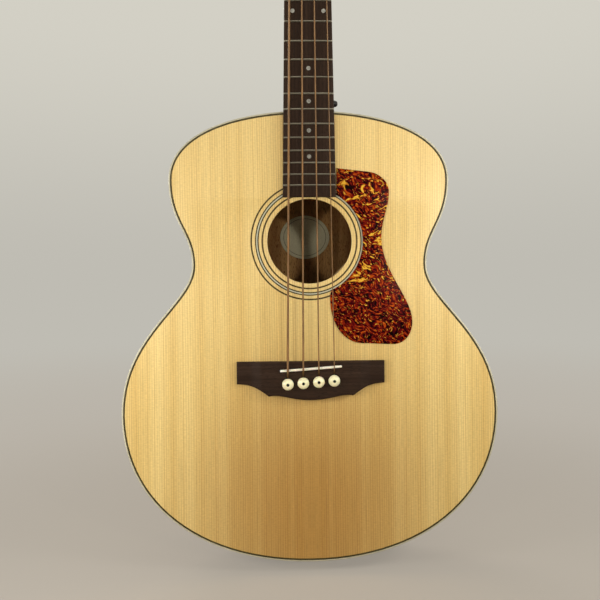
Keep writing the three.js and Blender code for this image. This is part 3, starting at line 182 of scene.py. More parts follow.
def woodMaterial(name, chosen):
    look = {**woodDefaults, **chosen}
    material, tree, shader = newMaterial(name, {
        "IOR": refraction, "Coat IOR": refraction, "Coat Weight": look["coat"],
        "Coat Roughness": look["coatRoughness"], "Specular IOR Level": look["shine"]})
    place, axis = patternPlace(tree, look["flow"]), look["axis"]
    if look["bookMatched"]:                 # both halves mirror each other at the middle
        parts = addNode(tree, "SeparateXYZ", [place]).node.outputs
        place = addNode(tree, "CombineXYZ", [mathNode(tree, "ABSOLUTE", parts[0]), parts[1], parts[2]])
    across = [share / (look["ring"] * mm) for share in look["across"]]
    straight = vectorNode(tree, "DOT_PRODUCT", place, across, out=1)
    bend = stretched(tree, place, *woodPattern["bend"], axis, 1.0)
    rings = mathNode(tree, "MULTIPLY_ADD", bend, look["bend"], straight)
    late = coloured(tree, mathNode(tree, "FRACT", rings), woodPattern["ring"])
    tone = addNode(tree, "TexWhiteNoise", {"W": mathNode(tree, "FLOOR", rings)}, noise_dimensions="1D")
    strength = ranged(tree, tone, 0.0, 1.0, *[share * look["late"] for share in woodPattern["tones"]])
    factor = mathNode(tree, "MULTIPLY", late, strength)
    colour = mixed(tree, factor, *[linear(c) for c in look["colours"]])
    band = stretched(tree, place, look["band"], look["band"] * woodPattern["bandLength"], axis, 1.5)
    shade = coloured(tree, band, list(zip(noiseSpan, (look["bandColour"], "#FFFFFF"))))
    colour = shaded(tree, colour, shade)
    fibre = stretched(tree, place, look["fibre"], look["fibre"] * woodPattern["fibreLength"], axis)
    colour = shaded(tree, colour, spread(tree, fibre, 1 - look["fibreShare"]))
    height = fibre
    if "pore" in look:                      # open vessels, cut lengthwise into short dark dashes
        pore = stretched(tree, place, look["pore"], look["pore"] * woodPattern["poreLength"], axis, 0.0)
        mask = ranged(tree, pore, look["poreFrom"], look["poreFrom"] + woodPattern["poreEdge"])
        colour = mixed(tree, mask, colour, linear(look["poreColour"]))
        height = mathNode(tree, "SUBTRACT", fibre, mask)
    if "silk" in look:                      # rays that glint across the grain of a quartered board
        glint = stretched(tree, place, *woodPattern["silk"], axis)
        colour = shaded(tree, colour, spread(tree, glint, 1 - look["silk"]))
    if "paintedShade" in look:                     # painted shade: the colour is darker round one place of the board, where shade falls
        paintedShade = look["paintedShade"]
        distance = distanceFrom(tree, place, paintedShade["centre"], paintedShade["shape"])
        share = ranged(tree, distance, paintedShade["from"] * mm, paintedShade["to"] * mm, 1.0, 0.0, "SMOOTHSTEP")
        colour = mixed(tree, share, colour, shaded(tree, colour, linear(paintedShade["colour"])))
    finish(tree, shader, look, colour, fibre, height)
    return material


# Moulded, turned or plated surface: one colour with slow mottling and fine scratches or orange peel
smoothDefaults = {
    "metal": 0.0, "coat": 0.0, "depth": 0.0, "shine": 0.5, "stretch": 1, "axis": 2, "flow": False}


def smoothMaterial(name, chosen):
    look = {**smoothDefaults, **chosen}
    material, tree, shader = newMaterial(name, {
        "IOR": refraction, "Metallic": look["metal"], "Coat Weight": look["coat"], "Coat Roughness": 0.06,
        "Subsurface Weight": look["depth"], "Subsurface Scale": 0.002, "Specular IOR Level": look["shine"]})
    place = patternPlace(tree, look["flow"])
    mottle, fine = [stretched(tree, place, look[key], look[key] * look["stretch"], look["axis"], detail)
                    for key, detail in (("mottle", 3.0), ("fine", 2.0))]
    colour = coloured(tree, mottle, list(zip(mottleSpan, look["colours"])))
    height = fine
    if "wire" in look:                      # a round wire wound side by side, as humps along the flow
        run = addNode(tree, "SeparateXYZ", [place])
        height = mathNode(tree, "SINE", mathNode(tree, "MULTIPLY", run, 2 * pi / (look["wire"] * mm)))
        # painted shade: the colour darkens in the grooves between the turns of wire
        colour = shaded(tree, colour, ranged(tree, height, -1.0, 0.0, look["groove"]))
    finish(tree, shader, look, colour, fine, height)
    return material


# Quartered spruce under clear gloss: pale early wood, amber late lines, broad bands, faint silk across
lacqueredSpruce = woodMaterial("lacquered_spruce", {
    "coat": 1.0, "shine": 0.1, "bookMatched": True, "across": (1, 0.3, 0), "ring": 2.7, "bend": 4.0,
    "late": 0.6, "colours": ("#F2D891", "#BC863A"), "band": 19, "bandColour": "#EFE6D4", "fibre": 0.8,
    "fibreShare": 0.18, "silk": 0.16, "rough": (0.4, 0.52), "bump": 0.01,
    # painted shade: a darker patch round the lower middle of the top, standing in for shade that falls there
    "paintedShade": {"centre": (0, 0, 75), "shape": (1, 0, 0.7), "from": 20, "to": 190, "colour": "#CDB695"}})
# Raw spruce bars: the same wood unfinished, duller and paler
rawSpruce = woodMaterial("raw_spruce", {
    "across": (0.9, 0.4, 0), "ring": 1.8, "bend": 3.0, "late": 0.45, "colours": ("#DCC194", "#A97C48"),
    "band": 12, "bandColour": "#D8CDB8", "fibre": 0.6, "fibreShare": 0.2, "rough": (0.7, 0.85), "bump": 0.03})
# Mahogany under gloss: red-brown ribbons, short dark pores filled by the finish
mahoganyLook = {
    "coat": 0.4, "coatRoughness": 0.12, "across": (1, 0.5, 0), "ring": 6, "bend": 4.0, "late": 0.35,
    "colours": ("#7E4527", "#4E2514"), "band": 22, "bandColour": "#B9A79A", "fibre": 0.8,
    "fibreShare": 0.25, "pore": 0.5, "poreFrom": 0.62, "poreColour": "#2C130A", "rough": (0.36, 0.5),
    "bump": 0.02}
lacqueredMahogany = woodMaterial("lacquered_mahogany", mahoganyLook)
bookMatchedMahogany = woodMaterial("book_matched_mahogany", {**mahoganyLook, "bookMatched": True})
bentMahogany = woodMaterial("bent_mahogany", {**mahoganyLook, "flow": True, "axis": 0, "across": (0, 1, 0.4)})
# Mahogany left raw on the inside of the back: paler and without shine
rawMahogany = woodMaterial("raw_mahogany", {
    **mahoganyLook, "coat": 0.0, "shine": 0.2, "colours": ("#CCA06A", "#9A6C3E"), "poreColour": "#6E4626",
    "rough": (0.7, 0.85)})
# Dark oiled rosewood, close-grained: near-black streaks in brown, fine pores, no finish on top
rosewoodLook = {
    "shine": 0.08, "across": (1, 0.4, 0), "ring": 4.2, "bend": 6.0, "late": 0.8,
    "colours": ("#37281F", "#231812"), "band": 9, "bandColour": "#C4B8AC", "fibre": 0.55,
    "fibreShare": 0.35, "pore": 0.42, "poreFrom": 0.62, "poreColour": "#1A110C", "rough": (0.5, 0.66),
    "bump": 0.03}
rosewood = woodMaterial("oiled_rosewood", rosewoodLook)
crossRosewood = woodMaterial("cross_rosewood", {**rosewoodLook, "axis": 0, "across": (0, 0.4, 1)})
# The same rosewood as a thin veneer under gloss
glossRosewood = woodMaterial("gloss_rosewood", {**rosewoodLook, "coat": 0.25, "coatRoughness": 0.1})
# Soft light-brown cedar, sawn and left raw
cedar = woodMaterial("raw_cedar", {
    "axis": 0, "across": (0, 0.6, 1), "ring": 2.4, "bend": 3.0, "late": 0.6,
    "colours": ("#B98A5E", "#7C5230"), "band": 14, "bandColour": "#C9BBAA", "fibre": 0.7,
    "fibreShare": 0.25, "rough": (0.75, 0.9), "bump": 0.04})
# Hard pale maple, planed and left raw
maple = woodMaterial("raw_maple", {
    "axis": 0, "across": (0, 0.3, 1), "ring": 3.5, "bend": 4.0, "late": 0.3,
    "colours": ("#D9BD92", "#B08A5C"), "band": 18, "bandColour": "#DDD2C2", "fibre": 0.5,
    "fibreShare": 0.12, "rough": (0.6, 0.75), "bump": 0.02})
# Cream celluloid, turned and polished: slightly deep, faintly mottled
ivoryPlastic = smoothMaterial("ivory_celluloid", {
    "colours": ("#EAE3BA", "#F6F0CC"), "mottle": 18, "fine": 1.2, "rough": (0.24, 0.36), "bump": 0.006,
    "depth": 0.1, "coat": 0.2})
# Aged binding strip under the body's lacquer: greyer than fresh celluloid, with no shine of its own
agedCelluloid = smoothMaterial("aged_celluloid", {
    "colours": ("#B4B09A", "#C2BEA8"), "mottle": 24, "fine": 1.2, "rough": (0.4, 0.52), "bump": 0.006,
    "shine": 0.2})
# Dark olive vulcanised fibre strip, matt under thin finish
darkFibre = smoothMaterial("dark_fibre", {
    "colours": ("#302B17", "#423B24"), "mottle": 9, "fine": 0.8, "rough": (0.4, 0.55), "bump": 0.01,
    "shine": 0.15})
# Cattle bone, hand-polished: warm white with faint lengthwise grain
bone = smoothMaterial("polished_bone", {
    "colours": ("#F0EBDC", "#FFFBF0"), "mottle": 2.5, "fine": 0.5, "stretch": 8, "axis": 0,
    "rough": (0.3, 0.45), "bump": 0.01, "depth": 0.15})
# Bronze wire wound on steel: real winding is 0.5 mm, drawn coarser so that it can be seen
woundBronze = smoothMaterial("wound_bronze", {
    "colours": ("#5C401E", "#7E5A2E"), "mottle": 30, "fine": 0.6, "rough": (0.34, 0.46), "bump": 0.1,
    # groove: how dark the painted shade between the turns of wire is
    "metal": 0.4, "flow": True, "wire": 1.1, "groove": 0.45})
# Rolled nickel-silver fret wire, crowned and rubbed dull
nickelSilver = smoothMaterial("nickel_silver", {
    "colours": ("#545045", "#6B675A"), "mottle": 12, "fine": 0.5, "stretch": 8, "axis": 0,
    "rough": (0.36, 0.5), "bump": 0.005, "metal": 0.4})
# Chrome plate over brass: bright, with the faint haze of handling
chrome = smoothMaterial("chrome_plate", {
    "colours": ("#7E8084", "#949699"), "mottle": 15, "fine": 2.0, "rough": (0.08, 0.2), "bump": 0.004,
    "metal": 1.0})
# Moulded black plastic: dull gloss with slight orange peel
blackPlastic = smoothMaterial("black_plastic", {
    "colours": ("#080808", "#100F0E"), "mottle": 10, "fine": 1.5, "rough": (0.3, 0.44), "bump": 0.008,
    "shine": 0.12})
# Turned brass, bare and a little dull
brass = smoothMaterial("turned_brass", {
    "colours": ("#84682C", "#9C7F3E"), "mottle": 6, "fine": 0.5, "rough": (0.28, 0.42), "bump": 0.008,
    "metal": 1.0})
# Drawn mild steel, dull and streaked lengthwise
steel = smoothMaterial("drawn_steel", {
    "colours": ("#85868A", "#A2A2A5"), "mottle": 8, "fine": 0.6, "stretch": 12, "rough": (0.35, 0.5),
    "bump": 0.01, "metal": 1.0})
# Pearl-grey shell, ground flat: cloudy patches that shift between warm and cool grey
pearl = smoothMaterial("shell_pearl", {
    "colours": ("#6A6A63", "#908F88"), "mottle": 2.2, "fine": 0.7, "rough": (0.15, 0.3), "bump": 0.004,
    "coat": 0.3})


# Tortoise celluloid: deep maroon sheet with red clouds, small amber flecks and, in its upper part, larger
# flecks drawn out sideways; one slow noise bends them all
tortoiseLook = {
    "warp": 18, "lean": 0.9, "upper": (230, 345),
    "cloud": {"size": 2.3, "length": 2.4, "detail": 2.0, "twist": 0.6},
    "fleck": {"size": 1.6, "length": 2.2, "detail": 1.0, "twist": 0.8, "from": 0.66, "edge": 0.05},
    "drawn": {"size": 5.4, "length": 1.9, "detail": 1.0, "twist": 0.9, "from": 0.6, "edge": 0.04},
    "cloudStops": [(0.37, "#0C0304"), (0.48, "#44070C"), (0.57, "#76160C"), (0.67, "#B04A10")],
    "fleckStops": [(0.38, "#B0641A"), (0.48, "#E2B23C")],
}


def tortoiseMaterial(look):
    material, tree, shader = newMaterial("tortoise_celluloid", {
        "IOR": refraction, "Coat Weight": 0.03, "Coat Roughness": 0.25, "Roughness": 0.4,
        "Specular IOR Level": 0.0})
    place, warp = patternPlace(tree), look["warp"] * mm
    slow = addNode(tree, "TexNoise", {"Vector": place, "Scale": 1 / warp, "Detail": 1.0}, 1)
    shift = addNode(tree, "VectorMath", {0: slow, "Scale": warp}, operation="SCALE")
    moved = vectorNode(tree, "ADD", place, shift)
    turned = addNode(tree, "Mapping", {"Vector": moved, "Rotation": (0, look["lean"], 0)})

    def layer(kind, vector, axis):
        part = look[kind]
        size, length = part["size"], part["size"] * part["length"]
        return stretched(tree, vector, size, length, axis, part["detail"], part["twist"])

    def above(noise, kind):
        part = look[kind]
        return ranged(tree, noise, part["from"], part["from"] + part["edge"])

    cloud = layer("cloud", turned, 2)
    small = above(layer("fleck", turned, 2), "fleck")
    height = addNode(tree, "SeparateXYZ", [place]).node.outputs[2]
    upper = ranged(tree, height, *[z * mm for z in look["upper"]])
    large = above(mathNode(tree, "MULTIPLY", layer("drawn", moved, 0), upper), "drawn")
    colour, amber = [coloured(tree, cloud, look[key]) for key in ("cloudStops", "fleckStops")]
    flecked = mixed(tree, mathNode(tree, "MAXIMUM", small, large), colour, amber)
    tree.links.new(flecked, shader.inputs["Base Color"])
    return material


tortoise = tortoiseMaterial(tortoiseLook)


# Rings of a laminate round one centre, coloured by their distance from it, with a fine even grain
pliesLook = {"grain": 1.6, "shade": 0.84, "rough": (0.4, 0.6), "shine": 0.15, "coat": 0.08}


def pliesMaterial(name, centre, low, high, stops, ovalness=1.0):
    look = pliesLook
    material, tree, shader = newMaterial(name, {
        "IOR": refraction, "Specular IOR Level": look["shine"], "Coat Weight": look["coat"]})
    place = patternPlace(tree)
    radius = distanceFrom(tree, place, centre, (1, 0, ovalness))
    colour = coloured(tree, ranged(tree, radius, low * mm, high * mm), stops)
    colour.node.color_ramp.interpolation = "CONSTANT"
    grain = stretched(tree, place, look["grain"], look["grain"], 2, 3.0)
    tree.links.new(shaded(tree, colour, spread(tree, grain, look["shade"])), shader.inputs["Base Color"])
    tree.links.new(ranged(tree, grain, 0.0, 1.0, *look["rough"]), shader.inputs["Roughness"])
    return material


print("materials made")


# Shapes are (points, faces, which faces are smooth); curves come first
def bezier(corners, steps):
    points = []
    for i in range(steps):
        row = [Vector(corner) for corner in corners]
        while len(row) > 1:
            row = [a.lerp(b, i / steps) for a, b in zip(row, row[1:])]
        points.append(tuple(row[0]))
    return points


def outwards(loop):
    points = np.array(loop)
    after = np.roll(points, -1, 0)
    along = after - np.roll(points, 1, 0)
    area = np.sum(points[:, 0] * after[:, 1] - after[:, 0] * points[:, 1])
    normals = np.stack((along[:, 1], -along[:, 0]), 1) * np.sign(area)
    return normals / np.linalg.norm(normals, axis=1)[:, None]


def grown(loop, distance):
    return np.array(loop) + outwards(loop) * distance


# Points on a circle or part of one, from one angle to another in equal steps
def arc(x, z, radius, start, end, steps):
    angles = [start + (end - start) * i / steps for i in range(steps + 1)]
    return [(x + radius * cos(a), z + radius * sin(a)) for a in angles]


def circle(x, z, radius, steps):
    return arc(x, z, radius, 0, 2 * pi, steps)[:-1]


def roundedBox(half, low, high, radius, steps=4):
    corners = [(half - radius, high - radius), (-half + radius, high - radius),
               (-half + radius, low + radius), (half - radius, low + radius)]
    return [p for q, (x, z) in enumerate(corners)
            for p in arc(x, z, radius, pi / 2 * q, pi / 2 * (q + 1), steps)]


def mirrored(points):
    return [(-x, *rest) for x, *rest in reversed(points)]


# Ways to set a shape down: as drawn from the front, or a turned shape about an upright or a level axis
def onBody(x, z, y):
    return (x, y, z)


def about(x, y, z):
    return lambda u, h, w: (x + u, y + h, z + w)


def upright(y, z):
    return lambda u, h, w: (u, y + w, z + h)


# A slab from an outline and holes in it; each level is (how far its edge stands out, its depth)
def slab(loops, levels, place=onBody, shares=None):
    points, faces, rims = [], [], []
    for i, loop in enumerate(loops):
        normals = outwards(loop) * (1 if i == 0 else -1) * (shares[i] if shares else 1)
        start, count = len(points), len(loop)
        for shift, depth in levels:
            points += [place(x, z, depth) for x, z in np.array(loop) + normals * shift]
        for k in range(len(levels) - 1):
            a, b = start + k * count, start + (k + 1) * count
            faces += [(a + j, a + (j + 1) % count, b + (j + 1) % count, b + j) for j in range(count)]
        rims.append((start, count, loop, normals))
    smooth = [True] * len(faces)
    for k in (0, len(levels) - 1):
        flat = [[Vector((*p, 0)) for p in np.array(loop) + normals * levels[k][0]]
                for _, _, loop, normals in rims]
        index = [start + k * count + j for start, count, _, _ in rims for j in range(count)]
        corners = tessellate_polygon(flat)
        faces += [tuple(index[c] for c in corner) for corner in corners]
        smooth += [False] * len(corners)
    return points, faces, smooth


# The levels of a plate with both edges eased
def easedPlate(low, high, edge):
    return [(-edge, low), (0, low + edge), (0, high - edge), (-edge, high)]


def loft(rings, closed=False, capped=True):
    count = len(rings[0])
    points = [p for ring in rings for p in ring]
    faces = []
    for s in range(len(rings) if closed else len(rings) - 1):
        a, b = s * count, (s + 1) % len(rings) * count
        faces += [(a + i, a + (i + 1) % count, b + (i + 1) % count, b + i) for i in range(count)]
    smooth = [True] * len(faces)
    if capped and not closed:
        last = len(points) - count
        faces += [tuple(range(count)), tuple(last + i for i in reversed(range(count)))]
        smooth += [False, False]
    return points, faces, smooth


facets = {"small": 20, "middle": 24, "large": 40}      # sides of a round piece, by its size


# A profile of (radius, height) turned about an axis; a profile that starts on the axis also ends there
def turn(profile, place, steps=32):
    rings = [[place(r * cos(2 * pi * i / steps), h, r * sin(2 * pi * i / steps)) for i in range(steps)]
             for r, h in profile]
    return loft(rings, closed=profile[0][0] > 0, capped=False)


def rodProfile(radius, low, high, edge=0.0):
    if not edge:
        return [(0, low), (radius, low), (radius, high), (0, high)]
    near = 0.3 * edge
    return [(0, low), (radius - edge, low), (radius - near, low + near), (radius, low + edge),
            (radius, high - edge), (radius - near, high - near), (radius - edge, high), (0, high)]


def joined(*shapes):
    points, faces, smooth = [], [], []
    for shapePoints, shapeFaces, shapeSmooth in shapes:
        start = len(points)
        points += list(shapePoints)
        faces += [tuple(start + i for i in face) for face in shapeFaces]
        smooth += shapeSmooth
    return points, faces, smooth


# A tube along a path, carried without twist; its flow is the length run and the way round
def tube(path, radius, sides=12):
    path = [Vector(p) for p in path]
    along = (path[1] - path[0]).normalized()
    across = along.orthogonal().normalized()
    angles = [2 * pi * k / sides for k in range(sides)]
    rings, flow, run = [], [], 0.0
    for i, point in enumerate(path):
        after = (path[min(i + 1, len(path) - 1)] - path[max(i - 1, 0)]).normalized()
        across = (across - after * across.dot(after)).normalized()
        other = after.cross(across)
        run += (point - path[i - 1]).length if i else 0
        rings.append([tuple(point + (across * cos(a) + other * sin(a)) * radius) for a in angles])
        flow += [(run, radius * a, 0) for a in angles]
    return loft(rings), flow


# A path with its corners rounded
def eased(path, distance, steps=4):
    path = [Vector(p) for p in path]
    result = [path[0]]
    for before, corner, after in zip(path, path[1:], path[2:]):
        near, far = [corner + (end - corner).normalized() * min(distance, (end - corner).length / 2)
                     for end in (before, after)]
        result += [Vector(p) for p in bezier([near, corner, far], steps)] + [far]
    return result + [path[-1]]


# How close points have to be to count as one, and the angles that tell an edge from a curve
precision = {"weld": 0.002, "solidWeld": 0.01, "flat": 1, "edge": 30, "sharp": 38}


def meshOf(name, shape, flow=None):
    points, faces, smooth = shape
    mesh = bpy.data.meshes.new(name)
    mesh.from_pydata([Vector(p) * mm for p in points], [], faces)
    mesh.polygons.foreach_set("use_smooth", smooth)
    if flow:
        layer = mesh.attributes.new("flow", "FLOAT_VECTOR", "POINT")
        layer.data.foreach_set("vector", np.array(flow, dtype=np.float32).ravel() * mm)
    fix = bmesh.new()
    fix.from_mesh(mesh)
    bmesh.ops.remove_doubles(fix, verts=fix.verts, dist=precision["weld"] * mm)
    bmesh.ops.recalc_face_normals(fix, faces=fix.faces)
    fix.to_mesh(mesh)
    fix.free()
    return mesh


def settled(piece):
    graph = bpy.context.evaluated_depsgraph_get()
    mesh = bpy.data.meshes.new_from_object(piece.evaluated_get(graph))
    piece.modifiers.clear()
    piece.data = mesh


def dressed(piece, material, slot, stands, body="body", sharp=precision["sharp"]):
    piece.data.materials.clear()
    piece.data.materials.append(material)
    piece.data.set_sharp_from_angle(angle=radians(sharp))
    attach(piece, body)
    if stands:
        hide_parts(*stands)
    return piece


def addPiece(name, shape, material, slot, stands=(), flow=None, cuts=(), **dress):
    piece = newObject(name, meshOf(name, shape, flow))
    cutters = [newObject(f"cutter_{i}", meshOf("cutter", cut)) for i, cut in enumerate(cuts)]
    for cutter in cutters:
        modifier = piece.modifiers.new("cut", "BOOLEAN")
        modifier.operation, modifier.solver, modifier.object = "DIFFERENCE", "EXACT", cutter
    if cutters:
        settled(piece)
    for cutter in cutters:
        bpy.data.objects.remove(cutter)
    return dressed(piece, material, slot, stands, **dress)


# A CAD solid's copy with its edges eased, standing for the solid
def addSoftened(node, name, edge, material, slot):
    source = bpy.data.objects[node]
    mesh = source.data.copy()
    mesh.transform(source.matrix_world)
    piece = newObject(name, mesh)
    fix = bmesh.new()
    fix.from_mesh(mesh)
    bmesh.ops.remove_doubles(fix, verts=fix.verts, dist=precision["solidWeld"] * mm)
    bmesh.ops.dissolve_limit(fix, angle_limit=radians(precision["flat"]), verts=fix.verts, edges=fix.edges)
    fix.to_mesh(mesh)
    fix.free()
    modifier = piece.modifiers.new("edge", "BEVEL")
    modifier.width, modifier.segments, modifier.limit_method = edge * mm, 2, "ANGLE"
    modifier.angle_limit = radians(precision["edge"])
    settled(piece)
    piece.data.polygons.foreach_set("use_smooth", [True] * len(piece.data.polygons))
    dressed(piece, material, slot, [node])


# Body: its outline, seen from the front, its domed back, and the profile of its bindings' outer corner
bodyShape = {
    "front": -56, "bottom": 14, "top": 537, "tailDepth": 112, "neckEndDepth": 96, "backRadius": 2400,
    "corners": [(0, 537), (160.7, 458.03), (135.1, 361.27), (218.6, 188.16), (0, 14)],
    "handleShares": [0.651, 0.507, 0.395, 0.254, 0.548, 0.591], "topShare": 0.571, "tailShare": 0.6,
    "steps": 26, "columns": 24, "plate": 3, "side": 2.5, "sideGap": 0.05, "binding": 1.8, "bindingHeight": 6,
    "purfling": 2.1, "tailWedge": 20.6, "bindingCorner": [(-1.0, 0), (-0.55, 0.12), (-0.15, 0.5), (0, 1.1)],
    "soundboardEdge": [(-0.7, 0), (-0.22, 0.15), (0, 0.7), (0, 2.6), (-0.4, 3)],
}
front, plate = bodyShape["front"], bodyShape["plate"]
hair = 0.02                                 # what keeps one surface clear of another


def halfOutline():
    corners, shares = bodyShape["corners"], bodyShape["handleShares"]
    x, z = zip(*corners)
    drops = [a - b for a, b in zip(z, z[1:])]
    handles = [
        [(bodyShape["topShare"] * x[1], z[0]), (x[1], z[1] + shares[0] * drops[0])],
        [(x[1], z[1] - shares[1] * drops[1]), (x[2], z[2] + shares[2] * drops[1])],
        [(x[2], z[2] - shares[3] * drops[2]), (x[3], z[3] + shares[4] * drops[2])],
        [(x[3], z[3] - shares[5] * drops[3]), (bodyShape["tailShare"] * x[3], z[4])],
    ]
    half = []
    for i, (a, b) in enumerate(handles):
        half += bezier([corners[i], a, b, corners[i + 1]], bodyShape["steps"])
    return half + [corners[-1]]


trebleHalf = halfOutline()
bodyOutline = trebleHalf + mirrored(trebleHalf[1:-1])


def inset(distance):
    return grown(bodyOutline, -distance)


def backFace(x, z):
    length = bodyShape["top"] - bodyShape["bottom"]
    fromTail = z - bodyShape["bottom"]
    depth = bodyShape["tailDepth"] + (bodyShape["neckEndDepth"] - bodyShape["tailDepth"]) * fromTail / length
    return front + depth + (fromTail * (length - fromTail) - x * x) / (2 * bodyShape["backRadius"])


def onBack(x, z, y):
    return (x, backFace(x, z) + y, z)


# Fingerboard sizes come before the sound hole, which lies under the board's end
board = {
    "scale": 781, "bodyFret": 17, "frets": 23, "pastLastFret": 13.1, "nutWidth": 41.3, "endWidth": 61,
    "thickness": 6.2, "radius": 406, "gap": 0.3, "columns": 16, "edge": 0.9, "bevel": 0.25,
    "endEdge": [(0.6, 0), (0.15, 0.15), (0, 0.6)], "fretWidth": 2.0, "fretHeight": 1.2, "fretInset": 0.3,
    "fretSection": [(-1, -0.4), (-1, 0), (-0.8, 0.58), (-0.42, 0.9), (0, 1), (0.42, 0.9), (0.8, 0.58), (1, 0),
                    (1, -0.4)],
    "fretEnd": [(0, 0.1), (0.5, 0.8), (1.0, 1)], "fretMiddle": 0.96, "dotRadius": 2.4,
    "dots": [3, 5, 7, 9, 15, 17, 19, 21], "doubleDot": 12, "doubleDotHalf": 17.5, "edgeDotRadius": 1.1,
    "edgeDotBelow": 3, "edgeDotApart": 3,
}


def fretDistance(fret):
    return board["scale"] * (1 - 2 ** (-fret / 12))


nutPlace = bodyShape["top"] + fretDistance(board["bodyFret"])
boardEnd = nutPlace - fretDistance(board["frets"]) - board["pastLastFret"]


def boardHalf(z):
    share = (nutPlace - z) / (nutPlace - boardEnd)
    return (board["nutWidth"] + (board["endWidth"] - board["nutWidth"]) * share) / 2


# Height of the board's crown, and of what follows it at another height
def crowned(height, x):
    return front - height + x * x / (2 * board["radius"])


def boardSurface(x):
    return crowned(board["gap"] + board["thickness"], x)


hole = {"radius": 48.6, "fromBoard": 1.6, "steps": 96}
holeZ = boardEnd - hole["fromBoard"] - hole["radius"]


# Soundboard with the eased edge of its sound hole; the edges inlays hide are left plain
def addSoundboard():
    rim = inset(bodyShape["binding"] + bodyShape["purfling"])
    loops = [rim, circle(0, holeZ, hole["radius"], hole["steps"])]
    levels = [(s, front + y) for s, y in bodyShape["soundboardEdge"]]
    addPiece("spruce_top", slab(loops, levels, shares=[0, 1]), lacqueredSpruce, "spruce_top", ["soundboard"])


# Bindings with a rounded outer corner, and the dark strip inside the front one
def addEdging():
    outer, inner = inset(hair), inset(bodyShape["binding"])
    profile = bodyShape["bindingCorner"] + [(0, bodyShape["bindingHeight"])]
    for name, place, levels in (("front", onBody, [(s, front + y) for s, y in profile]),
                                ("back", onBack, [(s, -y - hair) for s, y in profile])):
        addPiece(f"edge_{name}", slab([outer, inner], levels, place, [1, 0]), agedCelluloid, "ivory_plastic",
                 [f"{name}_binding"])
    strip = [inner, inset(bodyShape["binding"] + bodyShape["purfling"])]
    addPiece("dark_line", slab(strip, [(0, front - hair / 2), (0, front + plate)]), darkFibre, "inlay_fibre",
             ["front_purfling"])


# Bent sides from the neck to the tail wedge, grain along the bend, and the wedge between them
def addSides():
    low = front + bodyShape["bindingHeight"]
    outer, inner = inset(bodyShape["sideGap"]), inset(bodyShape["side"])
    last = max(i for i in range(len(trebleHalf)) if trebleHalf[i][0] > bodyShape["tailWedge"] / 2)
    for name, sign in (("treble", 1), ("bass", -1)):
        rings, flow, run = [], [], 0
        for i in range(last + 1):
            (x, z), (u, w) = outer[i], inner[i]
            high = backFace(x, z) - bodyShape["bindingHeight"]
            x, u = sign * max(x, 0), sign * max(u, 0)
            rings.append([(x, low, z), (x, high, z), (u, high, w), (u, low, w)])
            run += hypot(x - rings[i - 1][0][0], z - rings[i - 1][0][2]) if i else 0
            flow += [(run, low, 0), (run, high, 0), (run, high, 2), (run, low, 2)]
        addPiece(f"bent_side_{name}", loft(rings), bentMahogany, "mahogany", [f"side_{name}"], flow=flow)
    addSoftened("tail_wedge", "tail_strip", 0.2, ivoryPlastic, "ivory_plastic")


# Arched back: rows across the body at each height of the outline, so that its rim is exact
def addBack():
    rim, columns = inset(bodyShape["binding"])[:len(trebleHalf)], bodyShape["columns"]
    width, size = columns + 1, len(rim) * (columns + 1)
    points = [onBack(x * (2 * j / columns - 1), z, depth)
              for depth in (-hair, -plate) for x, z in rim for j in range(width)]
    faces = []
    for face in (0, size):
        for i in range(len(rim) - 1):
            a, b = face + i * width, face + (i + 1) * width
            faces += [(a + j, a + j + 1, b + j + 1, b + j) for j in range(columns)]
    for j in (0, columns):
        faces += [(i * width + j, (i + 1) * width + j, size + (i + 1) * width + j, size + i * width + j)
                  for i in range(len(rim) - 1)]
    piece = addPiece("arched_back", (points, faces, [True] * len(faces)), bookMatchedMahogany, "mahogany",
                     ["back_plate"])
    piece.data.materials.append(rawMahogany)
    for face in piece.data.polygons:
        face.material_index = 1 if face.normal.y < -0.5 else 0


addSoundboard()
addEdging()
addSides()
addBack()
print("body shell made")


# Wood inside the body, seen in part through the sound hole: each piece's name, eased edge, wood and slot
insidePieces = {
    "neck_block": ("block_at_neck", 1.0, cedar, "cedar"),
    "tail_block": ("block_at_tail", 1.0, cedar, "cedar"),
    "x_brace_bass": ("cross_bar_bass", 2.2, rawSpruce, "brace_spruce"),
    "x_brace_treble": ("cross_bar_treble", 2.2, rawSpruce, "brace_spruce"),
    "upper_brace": ("upper_bar", 2.2, rawSpruce, "brace_spruce"),
    "tone_bar": ("slanted_bar", 2.2, rawSpruce, "brace_spruce"),
    "bridge_plate": ("maple_plate", 0.5, maple, "maple"),
}
for node, (name, edge, material, slot) in insidePieces.items():
    addSoftened(node, name, edge, material, slot)
kerf = {"pitch": 6.5, "cut": 1.1, "width": 7, "height": 15, "web": 1.2, "chamfer": 7, "fromNeck": 44,
        "fromTail": 47, "fromMiddle": 0.2}


